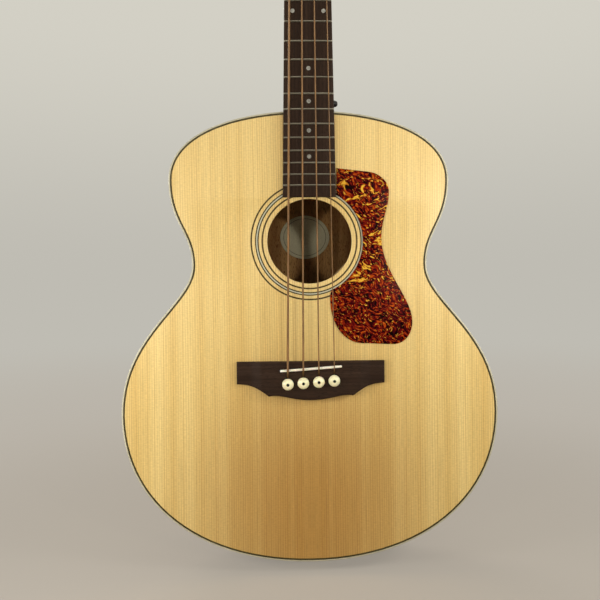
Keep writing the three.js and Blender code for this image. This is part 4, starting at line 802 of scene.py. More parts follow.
# Kerfed linings: a strip of small blocks on a thin web, so that it bends round the side
def addLinings():
    outer = inset(bodyShape["side"])[:len(trebleHalf)]
    run = np.concatenate(([0], np.cumsum(np.linalg.norm(np.diff(outer, axis=0), axis=1))))
    normals = outwards(bodyOutline)[:len(trebleHalf)]

    def at(distance, depth):
        x, z = [np.interp(distance, run, outer[:, k]) - np.interp(distance, run, normals[:, k]) * depth
                for k in (0, 1)]
        return max(x, kerf["fromMiddle"]), z

    def stations(first):
        cut = first + kerf["pitch"] - kerf["cut"]
        return [(first, True), (cut, True), (cut, False), (first + kerf["pitch"], False)]

    def sectionOf(full):
        depth, height = kerf["width"] if full else kerf["web"], kerf["height"]
        return [(0, 0), (depth, 0), (depth, height - (kerf["chamfer"] if full else 0)), (0, height)]

    start = kerf["fromNeck"]
    count = int((run[-1] - kerf["fromTail"] - start) / kerf["pitch"])
    feet = {"front": (lambda x, z: front + plate, 1), "back": (lambda x, z: backFace(x, z) - plate, -1)}
    for side, (foot, rise) in feet.items():
        for name, sign in (("bass", -1), ("treble", 1)):
            rings = []
            for distance, full in [s for i in range(count) for s in stations(start + i * kerf["pitch"])]:
                spots = [(*at(distance, inward), height) for inward, height in sectionOf(full)]
                rings.append([(sign * x, foot(x, z) + rise * height, z) for x, z, height in spots])
            addPiece(f"kerfed_strip_{side}_{name}", loft(rings), cedar, "cedar", [f"{side}_lining_{name}"])


addLinings()
print("inside made")

# Rosette rings, each a laminate let into the soundboard, with its top a hair proud
thinRing = [(0, "#2E240E"), (0.4, "#6A5830"), (0.6, "#2E240E")]
rosette = {
    "inner": (53.5, 55.3, thinRing),
    "middle": (58.6, 62.7, [(0, "#3A3218"), (0.33, "#C2C3B0"), (0.67, "#3A3218")]),
    "outer": (66.2, 68.0, thinRing),
}
inlay = {"proud": 0.03, "depth": 1.5, "steps": 128}
for name, (low, high, stops) in rosette.items():
    top, bottom = front - inlay["proud"], front + inlay["depth"]
    plies = pliesMaterial(f"plies_rosette_{name}", (0, 0, holeZ), low, high, stops)
    ring = turn([(low, top), (high, top), (high, bottom), (low, bottom)], about(0, 0, holeZ), inlay["steps"])
    addPiece(f"ring_{name}", ring, plies, "inlay_fibre", [f"rosette_{name}"])

# Pickguard: its inner edge follows the rosette, its top edge the fingerboard
guard = {
    "inner": 61.4, "reach": 118.2, "rise": 83.3, "toBridge": 18.3, "boardGap": 0.8, "start": -64.5,
    "topShares": (0.58, 0.052),
    "upperShares": [[(0.68, 0.07), (0.776, 0.182), (0.776, 0.328)],
                    [(0.776, 0.52), (0.699, 0.736), (0.699, 0.953)]],
    "lowerShares": [[(0.699, 0.293), (1, 0.552), (1, 0.778)], [(1, 0.911), (0.922, 1), (0.812, 1)],
                    [(0.72, 0.998), (0.62, 0.988), (0.525, 0.988)]],
    "heelShares": [(0.321, 0.978), (0.196, 0.616), (0.196, 0.165), (0.196, 0.072), (0.207, 0.026)],
    "edge": [(-0.55, -1.3), (-0.2, -1.2), (0, -0.95), (0, 0)],
    "steps": {"curve": 14, "heel": (16, 10), "arc": 40},
}
bridgeShape = {
    "width": 170.4, "height": 44.3, "aboveSaddle": 8, "thickness": 9, "wing": 4.5, "wingLength": 30,
    "wingHeight": 25.8, "kneeHeight": 39.8, "kneeWidth": 97, "wingShares": (0.82, 0.68, 0.4),
    "bellyShares": (0.78, 0.3, 0.5), "edge": 1.1, "edgeShares": [0, 0.12, 0.35, 0.65, 1], "compensation": 2.4,
    "slant": 3.8, "curveSteps": 30, "columns": 90, "rows": 8, "slotDepth": 3.0, "slotGap": 0.15,
    "pinHole": [(0, -9), (5.3, -9), (5.3, -1.0), (3.9, 0.6), (3.9, 12), (0, 12)], "rampGap": 0.35,
    "rampStretch": 1.1, "rampAbove": 9, "cutAbove": 20,
}
saddlePlace = nutPlace - board["scale"] - bridgeShape["compensation"]
bridgeTop = saddlePlace + bridgeShape["aboveSaddle"]


def addPickguard():
    edge, inner, steps = boardHalf(boardEnd) + guard["boardGap"], guard["inner"], guard["steps"]
    top, bottom = holeZ + guard["rise"], bridgeTop + guard["toBridge"]
    startAngle, endAngle = radians(guard["start"]), acos(edge / inner)
    rosetteEdge = arc(0, holeZ, inner, startAngle, endAngle, steps["arc"])

    def placed(pair, high, low):
        return (pair[0] * guard["reach"], high - pair[1] * (high - low))

    loop = [(edge, top)]
    here = placed(guard["topShares"], top, holeZ)
    for curves, high, low in ((guard["upperShares"], top, holeZ), (guard["lowerShares"], holeZ, bottom)):
        for curve in curves:
            corners = [placed(pair, high, low) for pair in curve]
            loop += bezier([here, *corners], steps["curve"])
            here = corners[-1]
    heel = [placed(pair, rosetteEdge[0][1], bottom) for pair in guard["heelShares"]]
    loop += bezier([here, *heel[:3]], steps["heel"][0])
    loop += bezier([*heel[2:], rosetteEdge[0]], steps["heel"][1]) + rosetteEdge
    levels = [(s, front + y) for s, y in guard["edge"]]
    addPiece("guard_sheet", slab([loop], levels), tortoise, "tortoise_plastic", ["pickguard"])


addPickguard()

# Bare paper label on the back's inner face, with one thin printed ring
label = {"width": 65, "height": 57, "offCentre": -2, "aboveHole": 11.5, "steps": 64, "depths": (-3.5, -3.15),
         "rings": [(0, "#D2D0B8"), (0.84, "#7C7A6A"), (0.865, "#D2D0B8"), (0.985, "#A3A18C")]}


def addLabel():
    x, z, half = label["offCentre"], holeZ + label["aboveHole"], label["width"] / 2
    squash = label["width"] / label["height"]
    loop = [(x + u * half, z + w * half / squash) for u, w in circle(0, 0, 1, label["steps"])]
    paper = pliesMaterial("label_paper", (x, 0, z), 0, half, label["rings"], squash)
    sheet = slab([loop], [(0, depth) for depth in label["depths"]], onBack)
    addPiece("bare_label", sheet, paper, "paper", ["label"])


addLabel()
print("rosette, pickguard and label made")

# Strings and where they bend
stringLook = {
    "names": "eadg", "diameters": (2.54, 2.03, 1.65, 1.14), "atSaddle": 53.1, "atNut": 32,
    "overSaddle": 12.5, "overNut": 8.5, "pinFromSaddle": 15.8, "holeFromPin": 3.9, "beforeSaddle": 1.3,
    "ramp": 5, "low": (24, 50), "high": (24, 128), "turns": 2.25, "stepsPerTurn": 24, "between": 0.45,
    "fromVeneer": 4, "post": 6, "slip": 0.4, "end": 6, "bend": 2.6, "endBend": 1.6, "ballBelow": 9.1,
    "ballShift": 1.7, "sharp": 60,
    "ball": [(1.2, -2.5), (2.6, -2.5), (3, -2.0), (2.4, -0.8), (2.3, 0), (2.4, 0.8), (3, 2.0), (2.6, 2.5),
             (1.2, 2.5)],
}
neckShape = {
    "nutDepth": 15, "heelDepth": 18, "round": 0.85, "heelLength": 75, "capThickness": 2, "capGap": 0.3,
    "depthShares": [0, 0.16, 0.3, 0.5, 0.75, 1], "widthShares": [1, 0.96, 0.86, 0.68, 0.52, 0.43],
    "lengthShares": [1, 0.88, 0.64, 0.5, 0.455, 0.44], "nutThickness": 6, "tilt": 12, "blend": 11,
    "blendRise": 12, "steps": 40, "heelRows": 30, "extraRows": (3, 8, 14, 20, 26, 30, 78, 84, 92),
    "shaftRows": (100, 8, 34), "capEdge": [(0, 0), (0, 1.3), (-0.2, 1.9), (-0.8, 2.3)], "sharp": 45,
}
head = {
    "length": 190, "thickness": 15, "shoulder": 72, "shoulderPlace": 24, "top": 88, "crown": 6,
    "rootShares": (0.5, 0.33), "veneer": 2, "pocket": (13, 34, 11), "pocketStart": 0.3, "pocketCorner": 2,
    "hole": 8.3, "corner": 2.4, "edge": 1.3, "edgeShare": 0.75, "crownFrom": 120, "crownGap": (0.2, 0.4),
    "rootRows": (-4, 0, 4, 8, 12, 16, 20, 24, 28), "topRows": (36, 24, 0.4), "squared": (-12, 24),
    "leaning": (-8, 8), "veneerEdge": [(-0.5, 0), (-0.15, 0.15), (0, 0.5)], "curveSteps": 30,
    "bore": (-20, 30), "pocketFrom": -10,
}
headPivot = nutPlace + neckShape["nutThickness"]
tilt = radians(neckShape["tilt"])
veneerFront = -board["gap"] - head["veneer"]
slant = radians(bridgeShape["slant"])


# The headstock's own frame: sideways, depth from its front, and length from the nut
def fromHead(x, y, v):
    return (x, front + y * cos(tilt) + v * sin(tilt), headPivot - y * sin(tilt) + v * cos(tilt))


def toHead(x, y, z):
    depth, rise = y - front, z - headPivot
    return (x, depth * cos(tilt) - rise * sin(tilt), depth * sin(tilt) + rise * cos(tilt))


def onHead(x, v, y):
    return fromHead(x, y, v)


def aboutHead(x, y, v):
    return lambda u, h, w: fromHead(x + u, y + h, v + w)


def stringAt(i):
    share = i / 3 - 0.5
    side = -1 if share < 0 else 1
    postX, postV = stringLook["low"] if i in (0, 3) else stringLook["high"]
    saddleX, nutX = share * stringLook["atSaddle"], share * stringLook["atNut"]
    radius = stringLook["diameters"][i] / 2
    saddleZ = saddlePlace + saddleX * tan(slant)
    pinZ = saddleZ - stringLook["pinFromSaddle"]
    return {
        "name": stringLook["names"][i], "side": side, "radius": radius, "saddleX": saddleX, "pinZ": pinZ,
        "holeZ": pinZ + stringLook["holeFromPin"] + radius, "postX": side * postX, "postV": postV,
        "bend": (saddleX, crowned(stringLook["overSaddle"] + radius, saddleX),
                 saddleZ - stringLook["beforeSaddle"] - radius / 2),
        "nut": (nutX, crowned(stringLook["overNut"] + radius, nutX), nutPlace),
    }


strings = [stringAt(i) for i in range(4)]


def clamped(share):
    return min(max(share, 0), 1)


def smoothed(share):
    share = clamped(share)
    return share * share * (3 - 2 * share)


# Bridge: belly below, scooped wings, then the saddle slot, pin holes and string ramps cut into it
def addBridge():
    half, knee, steps = bridgeShape["width"] / 2, bridgeShape["kneeWidth"] / 2, bridgeShape["curveSteps"]
    wing, kneeZ = bridgeTop - bridgeShape["wingHeight"], bridgeTop - bridgeShape["kneeHeight"]
    bottom, edge, thickness = bridgeTop - bridgeShape["height"], bridgeShape["edge"], bridgeShape["thickness"]
    wingOut, wingIn, wingDrop = bridgeShape["wingShares"]
    kneeIn, kneeRise, bellyIn = bridgeShape["bellyShares"]
    lower = bezier([(0, bottom), (bellyIn * knee, bottom), (kneeIn * knee, kneeZ + (wing - kneeZ) * kneeRise),
                    (knee, kneeZ)], steps)
    lower += bezier([(knee, kneeZ), (wingIn * half, wing + (kneeZ - wing) * wingDrop), (wingOut * half, wing),
                     (half, wing)], steps) + [(half, wing)]
    near = [edge * share for share in bridgeShape["edgeShares"]]

    def easing(distance):
        return edge - (edge ** 2 - max(edge - distance, 0) ** 2) ** 0.5

    def column(x):
        low, long, count = np.interp(abs(x), *zip(*lower)), bridgeShape["wingLength"], bridgeShape["rows"]
        tall, scoop = bridgeTop - low, smoothed((abs(x) - half + long) / (long / 2))
        height = thickness - (thickness - bridgeShape["wing"]) * scoop
        rows = near + [edge + (tall - 2 * edge) * k / count for k in range(1, count)]
        rows += [tall - row for row in reversed(near)]
        ring = [(x, front, low)]
        for row in rows:
            drop = max(easing(min(row, tall - row)), easing(half - abs(x)))
            ring.append((x, front - board["gap"] - height + drop, low + row))
        return ring + [(x, front, bridgeTop)]

    ends = [half - row for row in near]
    inner = np.linspace(half - edge, -half + edge, bridgeShape["columns"])[1:-1]
    rings = [column(x) for x in [*ends, *inner, *[-x for x in reversed(ends)]]]
    slotLevels = [(0, front - bridgeShape["cutAbove"]), (0, front - bridgeShape["slotDepth"])]
    cuts = [saddleSlab(bridgeShape["slotGap"], slotLevels)]
    face = front - board["gap"] - thickness
    for string in strings:
        x, r = string["saddleX"], string["radius"] + bridgeShape["rampGap"]
        cuts.append(turn(bridgeShape["pinHole"], about(x, face, string["pinZ"])))
        bowl = [(u, w * bridgeShape["rampStretch"]) for u, w in arc(0, 0, r, 0, pi, 8)]
        bowl += [(-r, -bridgeShape["rampAbove"]), (r, -bridgeShape["rampAbove"])]
        ends = ((x, front - stringLook["ramp"], string["holeZ"]), string["bend"])
        cuts.append(loft([[(a + u, b + w, c) for u, w in bowl] for a, b, c in ends]))
    addPiece("belly_bridge", loft(rings), crossRosewood, "rosewood", ["bridge"], cuts=cuts)


# Saddle sizes; its profile is (how far in, share of the height), and the slab for its slot is the same plan
saddle = {
    "half": 35.6, "radius": 1.3, "steps": 24, "endSteps": 12, "foot": 3.3, "over": 12.2,
    "edge": [(0, 0), (0, 0.88), (-0.15, 0.945), (-0.5, 0.985), (-1.0, 1.0)],
}


def saddleSlab(grow, levels, top=None):
    half, radius, steps = saddle["half"] - saddle["radius"], saddle["radius"] + grow, saddle["steps"]
    foot = front - saddle["foot"]
    right, left = [arc(side * half, 0, radius, -side * pi / 2, pi - side * pi / 2, saddle["endSteps"])
                   for side in (1, -1)]
    middle = [(half - 2 * half * k / steps, radius) for k in range(1, steps)]
    loop = right + middle + left + [(-x, -z) for x, z in middle]

    def place(a, b, y):
        x, z = a * cos(slant) - b * sin(slant), saddlePlace + a * sin(slant) + b * cos(slant)
        return (x, foot + (top(x) - foot) * y if top else y, z)

    return slab([loop], levels, place)


# Bone saddle, crowned like the board and rounded over along its top
def addSaddle():
    shape = saddleSlab(0, saddle["edge"], lambda x: crowned(saddle["over"], x))
    addPiece("bone_saddle", shape, bone, "bone", ["saddle"])


# Bridge pins: a tapered shank, a grooved rim, a domed head and a black dot let into it.
# Heights count from the head's seat upwards; the dome ends in a turned groove and a flat round the dot
pin = {
    "head": 6.6, "rim": 2, "height": 5.4, "shank": 3.5, "tip": 2.7, "length": 21, "dot": 2.1, "waist": 0.87,
    "domeFrom": 3.25, "groove": [(3.75, 0.42), (3.5, 0.5), (3.25, 0.36), (2.9, 0.22), (2.2, 0.12), (0, 0.1)],
    "dotProfile": [(0, 0.8), (1, 0.7), (1, 0.16), (0.6, 0.06), (0, 0.02)], "sharp": 50,
}


def addPins():
    face = front - 2 * board["gap"] - bridgeShape["thickness"]
    h, top, rim, tip, long = [pin[key] for key in ("head", "height", "rim", "tip", "length")]
    waist, base = h * pin["waist"], pin["domeFrom"]
    profile = [(0, long), (tip - 0.6, long), (tip, long - 0.8), (pin["shank"], 0.8), (pin["shank"], 0),
               (h - 0.4, 0), (h, -0.5), (h, -rim + 0.5), (h - 0.25, -rim), (h - 0.7, -rim - 0.25),
               (h - 0.75, -rim - 0.5), (waist, -base)]
    profile += [(waist * cos(a), -base - (top - base) * sin(a)) for a in (pi / 16 * k for k in range(1, 5))]
    profile += [(r, drop - top) for r, drop in pin["groove"]]
    dot = [(pin["dot"] * share, drop - top) for share, drop in pin["dotProfile"]]
    for string in strings:
        name, place = string["name"], about(string["saddleX"], face, string["pinZ"])
        addPiece(f"pin_{name}_turned", turn(profile, place, facets["large"]), ivoryPlastic, "ivory_plastic",
                 [f"bridge_pin_{name}"], body=f"pin_{name}", sharp=pin["sharp"])
        addPiece(f"pin_{name}_dot", turn(dot, place, facets["middle"]), blackPlastic, "black_plastic",
                 body=f"pin_{name}")


addBridge()
addSaddle()
addPins()
print("bridge made")


# Fingerboard, with its frets, position dots and the small dots in its bass edge
def addFingerboard():
    edge, bevel, columns = board["edge"], board["bevel"], board["columns"]
    rings = []
    for z, ease in [(nutPlace, 0)] + [(boardEnd + rise, ease) for rise, ease in board["endEdge"]]:
        half = boardHalf(z)
        low, inner = boardSurface(half), half - edge - ease
        corner = [(-half + ease, front, z), (-half + ease, low + edge, z),
                  (-half + bevel + ease, low + bevel + ease, z)]
        face = [inner * (2 * k / columns - 1) for k in range(columns + 1)]
        rings.append(corner + [(x, boardSurface(x) + ease, z) for x in face] + mirrored(corner))
    addPiece("rosewood_board", loft(rings), rosewood, "rosewood", ["fingerboard"])
    wire, tall, wide = [], board["fretHeight"], board["fretWidth"] / 2
    for n in range(1, board["frets"] + 1):
        z = nutPlace - fretDistance(n)
        half = boardHalf(z) - board["fretInset"]
        ends = [(half - back, share) for back, share in board["fretEnd"]]
        middle = [(half * (2 * k / 10 - 1) * board["fretMiddle"], 1) for k in range(11)]
        across = [(-x, share) for x, share in ends] + middle + ends[::-1]
        wire.append(loft([[(x, boardSurface(x) - y * share * tall, z + w * wide)
                           for w, y in board["fretSection"]] for x, share in across]))
    addPiece("fret_wire", joined(*wire), nickelSilver, "steel")

    def between(n):
        return nutPlace - (fretDistance(n - 1) + fretDistance(n)) / 2

    double = board["doubleDot"]
    spots = [(0, between(n)) for n in board["dots"]]
    spots += [(side * board["doubleDotHalf"], between(double)) for side in (-1, 1)]
    dots = [slab([circle(x, z, board["dotRadius"], 28)], [(0, -2 * hair), (0, 1)],
                 lambda a, b, y: (a, boardSurface(a) + y, b)) for x, z in spots]
    addPiece("face_dots", joined(*dots), pearl, "ivory_plastic")
    apart = board["edgeDotApart"]
    places = [between(n) for n in board["dots"]] + [between(double) + shift for shift in (-apart, apart)]
    profile = rodProfile(board["edgeDotRadius"], -0.05, 1.5, 0.1)

    def inEdge(z):
        x, y = -boardHalf(z), boardSurface(boardHalf(z)) + board["edgeDotBelow"]
        return lambda u, h, w: (x + h, y + u, z + w)

    edgeDots = [turn(profile, inEdge(z), 16) for z in places]
    addPiece("edge_dots", joined(*edgeDots), ivoryPlastic, "ivory_plastic")


addFingerboard()
print("fingerboard made")


# Values between a table's own, on a smooth curve through them
def smoothTable(places, values, at):
    places, values = np.array(places, float), np.array(values, float)
    slopes = np.gradient(values, places)
    at = np.clip(at, places[0], places[-1])
    i = np.clip(np.searchsorted(places, at) - 1, 0, len(places) - 2)
    width = places[i + 1] - places[i]
    t = (at - places[i]) / width
    return ((2 * t ** 3 - 3 * t ** 2 + 1) * values[i] + (t ** 3 - 2 * t ** 2 + t) * width * slopes[i]
            + (-2 * t ** 3 + 3 * t ** 2) * values[i + 1] + (t ** 3 - t ** 2) * width * slopes[i + 1])


heelRoot = bodyShape["top"]
heelReach = backFace(0, heelRoot) - neckShape["capThickness"] - neckShape["capGap"] - front
power = 2 / neckShape["round"]


# Half width of the heel at a depth and a height over the body's edge
def heelHalf(depth, height):
    share = depth / heelReach
    wide = boardHalf(heelRoot) * smoothTable(neckShape["depthShares"], neckShape["widthShares"], share)
    rise = neckShape["heelLength"] * smoothTable(neckShape["depthShares"], neckShape["lengthShares"], share)
    inside = 1 - np.clip(height / rise, 0, 1) ** power
    return np.where((depth <= heelReach) & (height < rise), wide * np.sqrt(inside), -1)


def shaftHalf(depth, z):
    share = (nutPlace - z) / (nutPlace - heelRoot)
    deep = neckShape["nutDepth"] + (neckShape["heelDepth"] - neckShape["nutDepth"]) * share
    return np.where(depth < deep, boardHalf(z) * np.sqrt(1 - np.clip(depth / deep, 0, 1) ** power), -1)


# How far a ray from the middle of the neck's front face runs inside a section, by halving
def reachOf(halfAt, angles):
    low, high = np.zeros(len(angles)), np.full(len(angles), 2 * heelReach)
    for _ in range(34):
        middle = (low + high) / 2
        inside = middle * np.cos(angles) <= halfAt(middle * np.sin(angles))
        low, high = np.where(inside, middle, low), np.where(inside, high, middle)
    return low


# The headstock's edge from its root to its shoulder, as corners of a curve in (half width, length)
def headRoot(start):
    root, shoulder, place = boardHalf(headPivot), head["shoulder"] / 2, head["shoulderPlace"]
    rise = [share * place for share in head["rootShares"]]
    return [(root, start), (root, rise[0]), (shoulder, rise[1]), (shoulder, place)]


headFlat = head["length"] - head["crown"]


def headHalf(v):
    corners = headRoot(0)
    halves, places = zip(*bezier(corners, head["curveSteps"]), corners[-1], (head["top"] / 2, headFlat))
    return float(np.interp(v, places, halves))


def squareHalf(half, back, corner, count):
    wall = [(half, (back - corner) * k / 8) for k in range(8)]
    bend = arc(half - corner, back - corner, corner, 0, pi / 2, 6)
    rest = count - len(wall) - len(bend) + 1
    return wall + bend + [((half - corner) * (1 - k / rest), back) for k in range(1, rest + 1)]


# Neck: one skin from the heel along the shaft into the tilted headstock
def addNeck():
    steps = neckShape["steps"]
    depths = np.linspace(0, heelReach, 400)
    side = np.concatenate((np.stack((heelHalf(depths, 0), depths), 1), [[0, heelReach]]))
    run = np.concatenate(([0], np.cumsum(np.linalg.norm(np.diff(side, axis=0), axis=1))))
    even = np.linspace(0, run[-1], steps + 1)
    angles = np.arctan2(np.interp(even, run, side[:, 1]), np.interp(even, run, side[:, 0]))
    angles[0], angles[-1] = 0, pi / 2

    def roundHalf(z):
        height = z - heelRoot
        shaft = reachOf(lambda depth: shaftHalf(depth, z), angles)
        reach = shaft
        if height < neckShape["heelLength"]:
            heel = reachOf(lambda depth: heelHalf(depth, max(height, 0)), angles)
            soft = neckShape["blend"] * np.sin(angles) ** 2 * min(1, height / neckShape["blendRise"]) + 0.001
            near = np.clip(soft - np.abs(shaft - heel), 0, None)
            reach = np.maximum(shaft, heel) + near ** 2 / (4 * soft)
        return [(r * cos(a), r * sin(a)) for r, a in zip(reach, angles)]

    def ring(half, place):
        right = [place(x, y) for x, y in half]
        return right + mirrored(right[:-1])

    lengths = smoothTable(neckShape["depthShares"], neckShape["lengthShares"],
                          np.linspace(0, 1, neckShape["heelRows"]))
    above, below, count = neckShape["shaftRows"]
    stations = {round(heelRoot + neckShape["heelLength"] * s, 3) for s in lengths}
    stations |= {heelRoot + k for k in neckShape["extraRows"]}
    stations |= set(np.linspace(heelRoot + above, headPivot - below, count))
    topX, topZ = zip(*trebleHalf[:30])      # the body's upper edge, where the heel's foot follows it
    first = roundHalf(heelRoot + 0.001)
    rings = [ring(first, lambda x, y: (x, front + y, float(np.interp(x, topX, topZ)) + hair))]
    for z in sorted(stations):
        rings.append(ring(roundHalf(z), lambda x, y: (x, front + y, z)))
    rounded, back = roundHalf(headPivot), head["thickness"]
    edge, (squareFrom, squareTo), (leanFrom, leanTo) = head["edge"], head["squared"], head["leaning"]
    above, count, last = head["topRows"]
    rows = [*head["rootRows"], *np.linspace(above, headFlat - edge, count), headFlat - last, headFlat]
    for v in rows:
        ease = max(0, edge - (headFlat - v)) * head["edgeShare"]
        share = smoothed((v - squareFrom) / (squareTo - squareFrom))
        root = headHalf(v)
        scale = root / rounded[0][0]
        flat = squareHalf(root - ease, back - ease, head["corner"], steps)
        half = [(a * scale * (1 - share) + c * share, b * (1 - share) + d * share)
                for (a, b), (c, d) in zip(rounded, flat)]
        lean = tilt * clamped((v - leanFrom) / (leanTo - leanFrom))
        base = Vector((0, front, headPivot + v)) if v < 0 else Vector(fromHead(0, 0, v))
        rise = clamped((v - head["crownFrom"]) / (headFlat - head["crownFrom"]))
        crown = (head["crown"] - head["crownGap"][0]) * rise

        def place(x, y):
            bulge = crown * (1 - (x / (head["top"] / 2)) ** 2)
            axis = Vector((0, sin(tilt), cos(tilt))) * bulge
            return tuple(base + axis + Vector((x, y * cos(lean), -y * sin(lean))))

        rings.append(ring(half, place))
    bore = rodProfile(head["hole"], *head["bore"])
    cuts = [turn(bore, aboutHead(s["postX"], 0, s["postV"])) for s in strings]
    width, length, depth = head["pocket"]
    pocket = roundedBox(width / 2, head["pocketStart"], length, head["pocketCorner"])
    cuts.append(slab([pocket], [(0, head["pocketFrom"]), (0, depth)], onHead))
    addPiece("carved_neck", loft(rings), lacqueredMahogany, "mahogany", ["neck"], cuts=cuts,
             sharp=neckShape["sharp"])


# Ivory cap under the heel, following its end
def addHeelCap():
    half = boardHalf(heelRoot) * neckShape["widthShares"][-1]
    rise = neckShape["heelLength"] * neckShape["lengthShares"][-1]
    loop = [(half * cos(a), heelRoot + neckShape["capGap"] + rise * max(sin(a), 0) ** neckShape["round"])
            for a in (pi * k / 40 for k in range(41))]
    levels = [(s, front + heelReach + y) for s, y in neckShape["capEdge"]]
    addPiece("cap_under_heel", slab([loop], levels), ivoryPlastic, "ivory_plastic", ["heel_cap"])


addNeck()
addHeelCap()
addSoftened("nut", "bone_nut", 0.35, bone, "bone")
print("neck made")

# Cover of the truss rod's nut, and its screws: a small dome on a rim
rodCover = {
    "wide": 13, "tip": 6, "low": 4, "high": 44, "gap": 0.05, "thickness": 2.2, "steps": 18,
    "edge": [(-0.8, 0), (-0.25, 0.2), (0, 0.7)], "screws": [(-9.5, 8), (9.5, 8), (0, 39)],
    "screwRadius": 1.9, "screwDome": 0.75,
}


# Headstock's face veneer and the cover, with its screws
def addHeadFace():
    start, flatTop, crown = board["gap"], (head["top"] / 2, headFlat), head["crown"] - head["crownGap"][1]
    right = bezier(headRoot(start), 14) + bezier([headRoot(start)[-1], flatTop], 12)
    left = (-flatTop[0], headFlat)
    upper = bezier([flatTop, (0, head["length"] + crown), left], 20) + [left]
    width, length = head["pocket"][0] / 2, head["pocket"][1]
    pocket = [(-width, start), (-width, length), (width, length), (width, start)]
    loops = [right + upper + mirrored(right) + pocket]
    loops += [circle(s["postX"], s["postV"], head["hole"], facets["large"]) for s in strings]
    levels = [(s, veneerFront + y) for s, y in head["veneerEdge"]] + [(0, 0)]
    addPiece("head_face", slab(loops, levels, onHead, [1] + [0.4] * len(strings)), glossRosewood, "rosewood",
             ["head_veneer"])
    wide, tip, low, high = [rodCover[key] for key in ("wide", "tip", "low", "high")]
    flank = bezier([(wide, low), (wide, high / 2), (tip, high / 2), (tip, high - tip)], rodCover["steps"])[1:]
    outline = [(wide * (2 * k / 8 - 1), low) for k in range(9)] + flank
    outline += arc(0, high - tip, tip, 0, pi, 16) + mirrored(flank)
    foot = veneerFront - rodCover["gap"]
    face = foot - rodCover["thickness"]
    levels = [(s, face + y) for s, y in rodCover["edge"]] + [(0, foot)]
    addPiece("rod_cover", slab([outline], levels, onHead), blackPlastic, "black_plastic", ["truss_rod_cover"])
    radius, dome = rodCover["screwRadius"], rodCover["screwDome"]
    profile = [(0, 0.5), (radius, 0.4), (radius, 0)]
    profile += [(radius * cos(a), -dome * sin(a)) for a in (pi / 10 * k for k in range(1, 5))] + [(0, -dome)]
    screws = [turn(profile, aboutHead(x, face, v), facets["small"]) for x, v in rodCover["screws"]]
    addPiece("cover_screws", joined(*screws), chrome, "chrome")


addHeadFace()

# Truss rod with its brass nut, seen when the cover is off; lengths count from the body's edge and the pivot
rod = {"radius": 2.5, "depth": 7, "start": 12, "end": 14, "edge": 0.5, "nutRadius": 5, "nut": (4, 14),
       "nutEdge": 0.6, "nutHole": 2.8}


def addRod():
    y = front + rod["depth"]
    profile = rodProfile(rod["radius"], bodyShape["top"] + rod["start"], headPivot + rod["end"], rod["edge"])
    addPiece("steel_rod", turn(profile, upright(y, 0), facets["small"]), steel, "steel", ["truss_rod"])
    levels = easedPlate(*[headPivot + v for v in rod["nut"]], rod["nutEdge"])
    loops = [circle(0, 0, rod["nutRadius"], 6), circle(0, 0, rod["nutHole"], facets["middle"])]
    addPiece("rod_hex_nut", slab(loops, levels, lambda a, b, h: (a, y + b, h), [1, 0.3]), brass, "brass",
             ["truss_rod_nut"], body="rod_nut")


addRod()
print("headstock made")

# Tuners: plate with ears, key with its worm, post with its wheel, ferrule in front.
# Profiles are (radius, height); the post's tip and the ferrule count from the veneer's front
tuner = {
    "plateFront": 15.0, "plateBack": 17.3, "plate": (12.5, -24, 15, 2.5), "plateHole": 6.5,
    "plateEdge": [(0, -0.5), (-0.15, -0.15), (-0.5, 0)], "earRadius": 5, "ear": (8, 10), "earEdge": 0.3,
    "earHole": 2.9, "screws": [(-8.5, 11), (8.5, 11), (-8.5, -20.5), (8.5, -20.5)],
    "screw": [(0, -1), (2.2, -1), (2.2, 0.2), (1.9, 0.6), (1.2, 0.9), (0, 1)],
    "ferrule": [(6.4, -1.6), (7.0, -2), (8.6, -2), (9.6, -1.6), (10, -0.9), (10, 0.3), (8, 0.3)],
    "ferruleGap": 0.3, "ferruleBore": (6.4, 8, 8), "wheelMiddle": 21.6, "wheelThickness": 4,
    "wheelEdge": 0.25, "wormBelow": 13, "leafX": 33, "leafShaft": 6, "leaf": 14, "leafThickness": 5,
    "dip": 0.22, "leafEdge": [(-5, 0.5), (-3.2, 0), (-1.4, 0.15), (-0.4, 0.8), (0, 1.8)], "teeth": 20,
    "tip": 11, "root": 8.75,
    "tooth": [("root", -0.28), ("root", -0.2), ("tip", -0.12), ("tip", 0.12), ("root", 0.2), ("root", 0.28)],
    "worm": (1.9, 3.9, 1.3, 3), "wormInside": 0.3, "wormFade": 12, "wormSteps": 20,
    "shaft": [(0, -11.0), (2.2, -11.0), (2.5, -10.7), (2.5, -7.8), (1.9, -7.4), (1.9, 7.4), (2.5, 7.8),
              (2.5, 14), (3.6, 15), (3.6, 17), (2.5, 18)], "postLength": 18,
    "postTip": [(0, 0), (4.6, 0), (5.6, 0.4), (6, 1.2), (6, 3), (5.75, 6)], "boss": (8, 17.7),
    "postWaist": 5.75, "postEnd": 3.2, "postHalf": 6, "cutAbove": 8, "slotHalf": 14,
}


